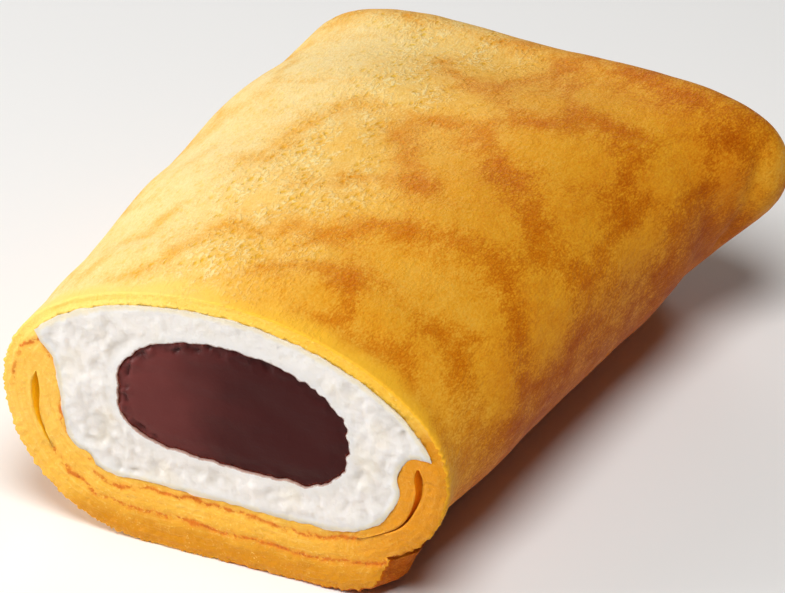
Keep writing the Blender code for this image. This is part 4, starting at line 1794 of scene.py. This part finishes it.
@dataclass
class CreamFilling:
    """The whipped cream, torn into lumps at the cut, with a bore for the core."""

    form: RollForm
    cell: float = 0.24 * MM
    gap: float = 0.05 * MM
    end: float = 0.0290

    def build(self) -> bpy.types.Object:
        """Makes the cream's mesh.

        Returns:
            The piece, without its finish.
        """
        shell = Shell()
        front = self.form.depth_at(0.0)
        outline = self._torn(self.form.cream_section(0.0))
        outer = shell.ring(outline, front)
        bore = shell.ring(core_outline(self.form, -0.02 * MM), front)
        faces = shell.plate([outer, bore], front, self.cell)
        plate = list(dict.fromkeys(v for f in faces for v in f.verts))
        sections, inner = [], []
        for deep in (0.0008, 0.004, 0.012, 0.020, self.end):
            share = deep / self.form.length
            sections.append((inset_by(self.form.cream_section(share), self.gap), front + deep))
            inner.append((core_outline(self.form, -0.02 * MM), front + deep))
        back = shell.grow(outer, sections, Zone.SKIN)[-1]
        walls = shell.grow(bore, inner, Zone.SKIN)
        for vert in (v for ring in walls for v in ring):
            vert[shell.layers[Layer.TOAST]] = 1.0
        hole = walls[-1]
        bmesh.ops.triangle_fill(
            shell.bm,
            edges=shell.edges_of(back) + shell.edges_of(hole),
            use_beauty=False,
            use_dissolve=False,
            normal=(0.0, 1.0, 0.0),
        )
        bmesh.ops.recalc_face_normals(shell.bm, faces=shell.bm.faces)
        self._whip(shell, plate)
        LOG.info("cream: %d faces", len(shell.bm.faces))
        return shell.finish("cream_filling", 50.0)

    def _torn(self, section: list[Point2]) -> list[Point2]:
        """Smears the cream's edge a little over the crumb in places.

        Args:
            section: The plain edge, anticlockwise.

        Returns:
            The edge, smeared.
        """
        by = []
        for x, z in section:
            spot = Vector((x, 0.1, z))
            smear = 0.30 * noise.noise(spot / (2.2 * MM)) + 0.14 * noise.noise(spot / (0.8 * MM))
            by.append(-(0.12 + max(-0.10, smear)) * MM)
        return inset_by(section, by)

    def _whip(self, shell: Shell, plate: Sequence[bmesh.types.BMVert]) -> None:
        """Raises the lumps of the cut face and notes its hollows.

        Args:
            shell: The mesh.
            plate: The vertices of the cut face.
        """
        places = np.array([v.co for v in plate])
        flat = places[:, (0, 2)] / MM
        bent = places.copy()
        bent[:, 0] += 1.2 * MM * field_of(places, 2.6 * MM, 40.0)
        bent[:, 2] += 1.2 * MM * field_of(places, 2.6 * MM, 41.0)
        near, _ = cell_field(bent, 2.0 * MM, 42.0)
        blobs = 0.16 * (1.0 - eased(near, 0.0, 0.9))
        folds = 0.26 * field_of(bent, 4.2 * MM, 46.0) + 0.19 * field_of(bent, 1.7 * MM, 43.0)
        froth = 0.11 * field_of(places, 0.9 * MM, 44.0)
        chunks, _ = cell_field(bent, 1.1 * MM, 48.0)
        froth += 0.12 * (0.5 - eased(chunks, 0.1, 0.9))
        dents = -0.12 * eased(field_of(bent, 1.8 * MM, 47.0), 0.10, 0.55)
        blobs = blobs + folds + dents
        broad = 0.30 * field_of(places, 7.0 * MM, 45.0)
        core = distance_to_path(flat, [(x / MM, z / MM) for x, z in core_outline(self.form, 0.0)])
        calm = eased(core, 0.2, 2.4)
        above = eased(flat[:, 1], 29.5, 31.5)
        rough = np.clip(calm * (1.0 - 0.6 * above) + 0.15, 0.0, 1.0)
        edge = distance_to_path(flat, [(x / MM, z / MM) for x, z in self.form.cream_section(0.0, 60, 60)])
        free = eased(edge, 0.2, 1.2)
        height = (blobs + froth + broad - 0.14) * rough * free
        height += 0.05 * np.exp(-((core / 0.9) ** 2)) + 0.08 * eased(edge, 0.0, 0.5)
        for vert, off, brim in zip(plate, core, edge):
            vert[shell.layers[Layer.TOAST]] = math.exp(-((off / 0.26) ** 2))
            vert[shell.layers[Layer.SEAM]] = float(brim)
        # The hollow attribute marks how sunk each vertex is, for painted shade in the finish.
        key = shell.layers[Layer.HOLLOW]
        for vert, up in zip(plate, height):
            vert.co.y -= up * MM
            vert[key] = float(np.clip(0.35 - 1.2 * up, 0.0, 1.0))

    def dress(self, piece: bpy.types.Object) -> None:
        """Gives the cream its finish and its place in the frame."""
        piece.data.materials.append(CreamFinish().material())
        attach(piece, "root")
        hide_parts("cream")


def core_outline(form: RollForm, grow: float, steps: int = 260) -> list[Point2]:
    """Draws the ragged edge that the core and its bore share.

    Args:
        form: The roll's shape.
        grow: How far inwards of it the outline stands, in metres, or outwards below 0.
        steps: How many points it has.

    Returns:
        The outline, anticlockwise.
    """
    section = form.core_section(steps)
    by = []
    for x, z in section:
        spot = Vector((x, 0.7, z))
        torn = 0.60 + 1.20 * ease((x - 6.0 * MM) / (7.0 * MM)) + 0.30 * ease((-8.0 * MM - x) / (5.0 * MM))
        ragged = 0.34 * noise.noise(spot / (1.9 * MM)) + 0.26 * noise.noise(spot / (0.85 * MM))
        by.append(torn * ragged * MM + grow)
    return inset_by(section, by)


@dataclass
class PasteCore:
    """The core of smooth dark paste, cut across."""

    form: RollForm
    cell: float = 0.26 * MM
    end: float = 0.0285

    def build(self) -> bpy.types.Object:
        """Makes the core's mesh.

        Returns:
            The piece, without its finish.
        """
        shell = Shell()
        front = self.form.depth_at(0.0)
        outline = core_outline(self.form, 0.02 * MM)
        outer = shell.ring(outline, front)
        faces = shell.plate([outer], front, self.cell)
        plate = list(dict.fromkeys(v for f in faces for v in f.verts))
        sections = [(outline, front + deep) for deep in (0.0006, 0.004, 0.014, self.end)]
        shell.close(shell.grow(outer, sections, Zone.SKIN)[-1])
        for face in shell.bm.faces:
            face.material_index = 0
        bmesh.ops.recalc_face_normals(shell.bm, faces=shell.bm.faces)
        self._smear(shell, plate)
        LOG.info("core: %d faces", len(shell.bm.faces))
        return shell.finish("paste_core_cut")

    def _smear(self, shell: Shell, plate: Sequence[bmesh.types.BMVert]) -> None:
        """Gives the cut face its soft crown, its drags and its rim.

        Args:
            shell: The mesh.
            plate: The vertices of the cut face.
        """
        places = np.array([v.co for v in plate])
        flat = places[:, (0, 2)] / MM
        rim = distance_to_path(flat, [(x / MM, z / MM) for x, z in core_outline(self.form, 0.0)])
        drawn = places * np.array([0.45, 1.0, 1.0])
        height = 0.26 * eased(rim, 0.0, 2.6) - 0.24
        height += 0.16 * field_of(drawn, 2.6 * MM, 50.0) * eased(rim, 0.2, 1.2)
        height += 0.10 * field_of(drawn, 1.1 * MM, 51.0) * np.exp(-((rim / 1.8) ** 2))
        lumps = eased(field_of(places, 3.0 * MM, 52.0), 0.0, 0.35)
        height += 0.22 * np.exp(-(((rim - 0.9) / 0.5) ** 2)) * lumps
        left, above = eased(-flat[:, 0], 7.0, 12.0), eased(flat[:, 1], 26.0, 29.0)
        where = np.maximum(left, above * eased(-flat[:, 0], -9.0, -3.0)) + 0.15
        wander = 1.0 + 1.2 * field_of(places, 2.4 * MM, 54.0)
        moat = np.exp(-(((rim - wander) / 0.40) ** 2)) * eased(field_of(places, 1.3 * MM, 53.0), -0.2, 0.3)
        moat *= np.minimum(where, 1.0)
        height -= 0.30 * moat
        crumbs = eased(field_of(places, 1.1 * MM, 55.0), 0.05, 0.45)
        height += 0.22 * where * np.exp(-((rim / 1.9) ** 2)) * crumbs
        # The groove's weight goes to the hollow attribute, which the finish paints with shade.
        for vert, up, off, dark in zip(plate, height, rim, moat):
            vert.co.y -= up * MM
            vert[shell.layers[Layer.TOAST]] = math.exp(-((off / 0.36) ** 2))
            vert[shell.layers[Layer.HOLLOW]] = 0.8 * float(dark)

    def dress(self, piece: bpy.types.Object) -> None:
        """Gives the core its finish and its place in the frame."""
        piece.data.materials.append(PasteFinish().material())
        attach(piece, "root")
        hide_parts("paste_core")


@dataclass(frozen=True)
class SoftLight:
    """A soft panel of light that faces the roll, by its direction and distance from it."""

    name: str
    azimuth: float
    elevation: float
    distance: float
    size: float
    power: float
    colour: Colour = (1.0, 1.0, 1.0)


@dataclass(frozen=True)
class Studio:
    """The camera, the lights and the pale floor."""

    azimuth: float = 26.4
    elevation: float = 28.5
    distance: float = 0.800
    lens: float = 280.62
    target: tuple[float, float, float] = (-0.000303, 0.0, 0.014500)
    floor_half: float = 2.5
    fill: float = 0.05
    fill_colour: Colour = (1.0, 0.98, 0.96)
    lights: tuple[SoftLight, ...] = (
        SoftLight("key", -60.0, 20.0, 0.65, 0.34, 2.9),
        SoftLight("top", 24.0, 62.0, 0.65, 0.36, 3.5),
        SoftLight("back", -150.0, 22.0, 0.65, 0.34, 0.75),
    )

    @staticmethod
    def towards(azimuth: float, elevation: float) -> Vector:
        """The direction from the roll to a place round it, by degrees."""
        a, e = math.radians(azimuth), math.radians(elevation)
        return Vector((math.sin(a) * math.cos(e), -math.cos(a) * math.cos(e), math.sin(e)))

    def camera(self) -> None:
        """Sets up the camera as the photograph has it."""
        data = bpy.data.cameras.new("camera")
        data.lens = self.lens
        data.sensor_width = 36.0
        data.clip_start = 0.05
        data.clip_end = 20.0
        camera = bpy.data.objects.new("camera", data)
        back = self.towards(self.azimuth, self.elevation)
        camera.location = Vector(self.target) + back * self.distance
        camera.rotation_euler = (-back).to_track_quat("-Z", "Y").to_euler()
        bpy.context.scene.collection.objects.link(camera)
        bpy.context.scene.camera = camera

    def light(self) -> None:
        """Hangs the soft panels and sets the room's own light."""
        for soft in self.lights:
            data = bpy.data.lights.new(soft.name, "AREA")
            data.shape = "DISK"
            data.size = soft.size
            data.energy = soft.power
            data.color = soft.colour
            lamp = bpy.data.objects.new(soft.name, data)
            back = self.towards(soft.azimuth, soft.elevation)
            lamp.location = Vector(self.target) + back * soft.distance
            lamp.rotation_euler = back.to_track_quat("Z", "Y").to_euler()
            bpy.context.scene.collection.objects.link(lamp)
        world = bpy.data.worlds.new("studio")
        world.use_nodes = True
        room = world.node_tree.nodes["Background"]
        room.inputs["Color"].default_value = (*self.fill_colour, 1.0)
        room.inputs["Strength"].default_value = self.fill
        bpy.context.scene.world = world
        bpy.context.scene.view_settings.view_transform = "Standard"

    def floor(self) -> None:
        """Lays the floor just under the roll."""
        bm = bmesh.new()
        bmesh.ops.create_grid(bm, x_segments=1, y_segments=1, size=self.floor_half)
        bmesh.ops.translate(bm, verts=bm.verts, vec=(0.0, 0.0, -0.00005))
        mesh = bpy.data.meshes.new("floor")
        bm.to_mesh(mesh)
        bm.free()
        plane = bpy.data.objects.new("floor", mesh)
        plane.data.materials.append(FloorFinish().material())
        bpy.context.scene.collection.objects.link(plane)


def main() -> None:
    """Builds the studio and the three pieces of the roll."""
    logging.basicConfig(level=logging.INFO, format="%(message)s")
    studio = Studio()
    studio.camera()
    studio.light()
    studio.floor()
    form = RollForm()
    for maker in (CrepeSheet(form), CreamFilling(form), PasteCore(form)):
        piece = maker.build()
        maker.dress(piece)
        LOG.info("%s: %d vertices, %d faces", piece.name, len(piece.data.vertices), len(piece.data.polygons))


if __name__ == "__main__":
    main()
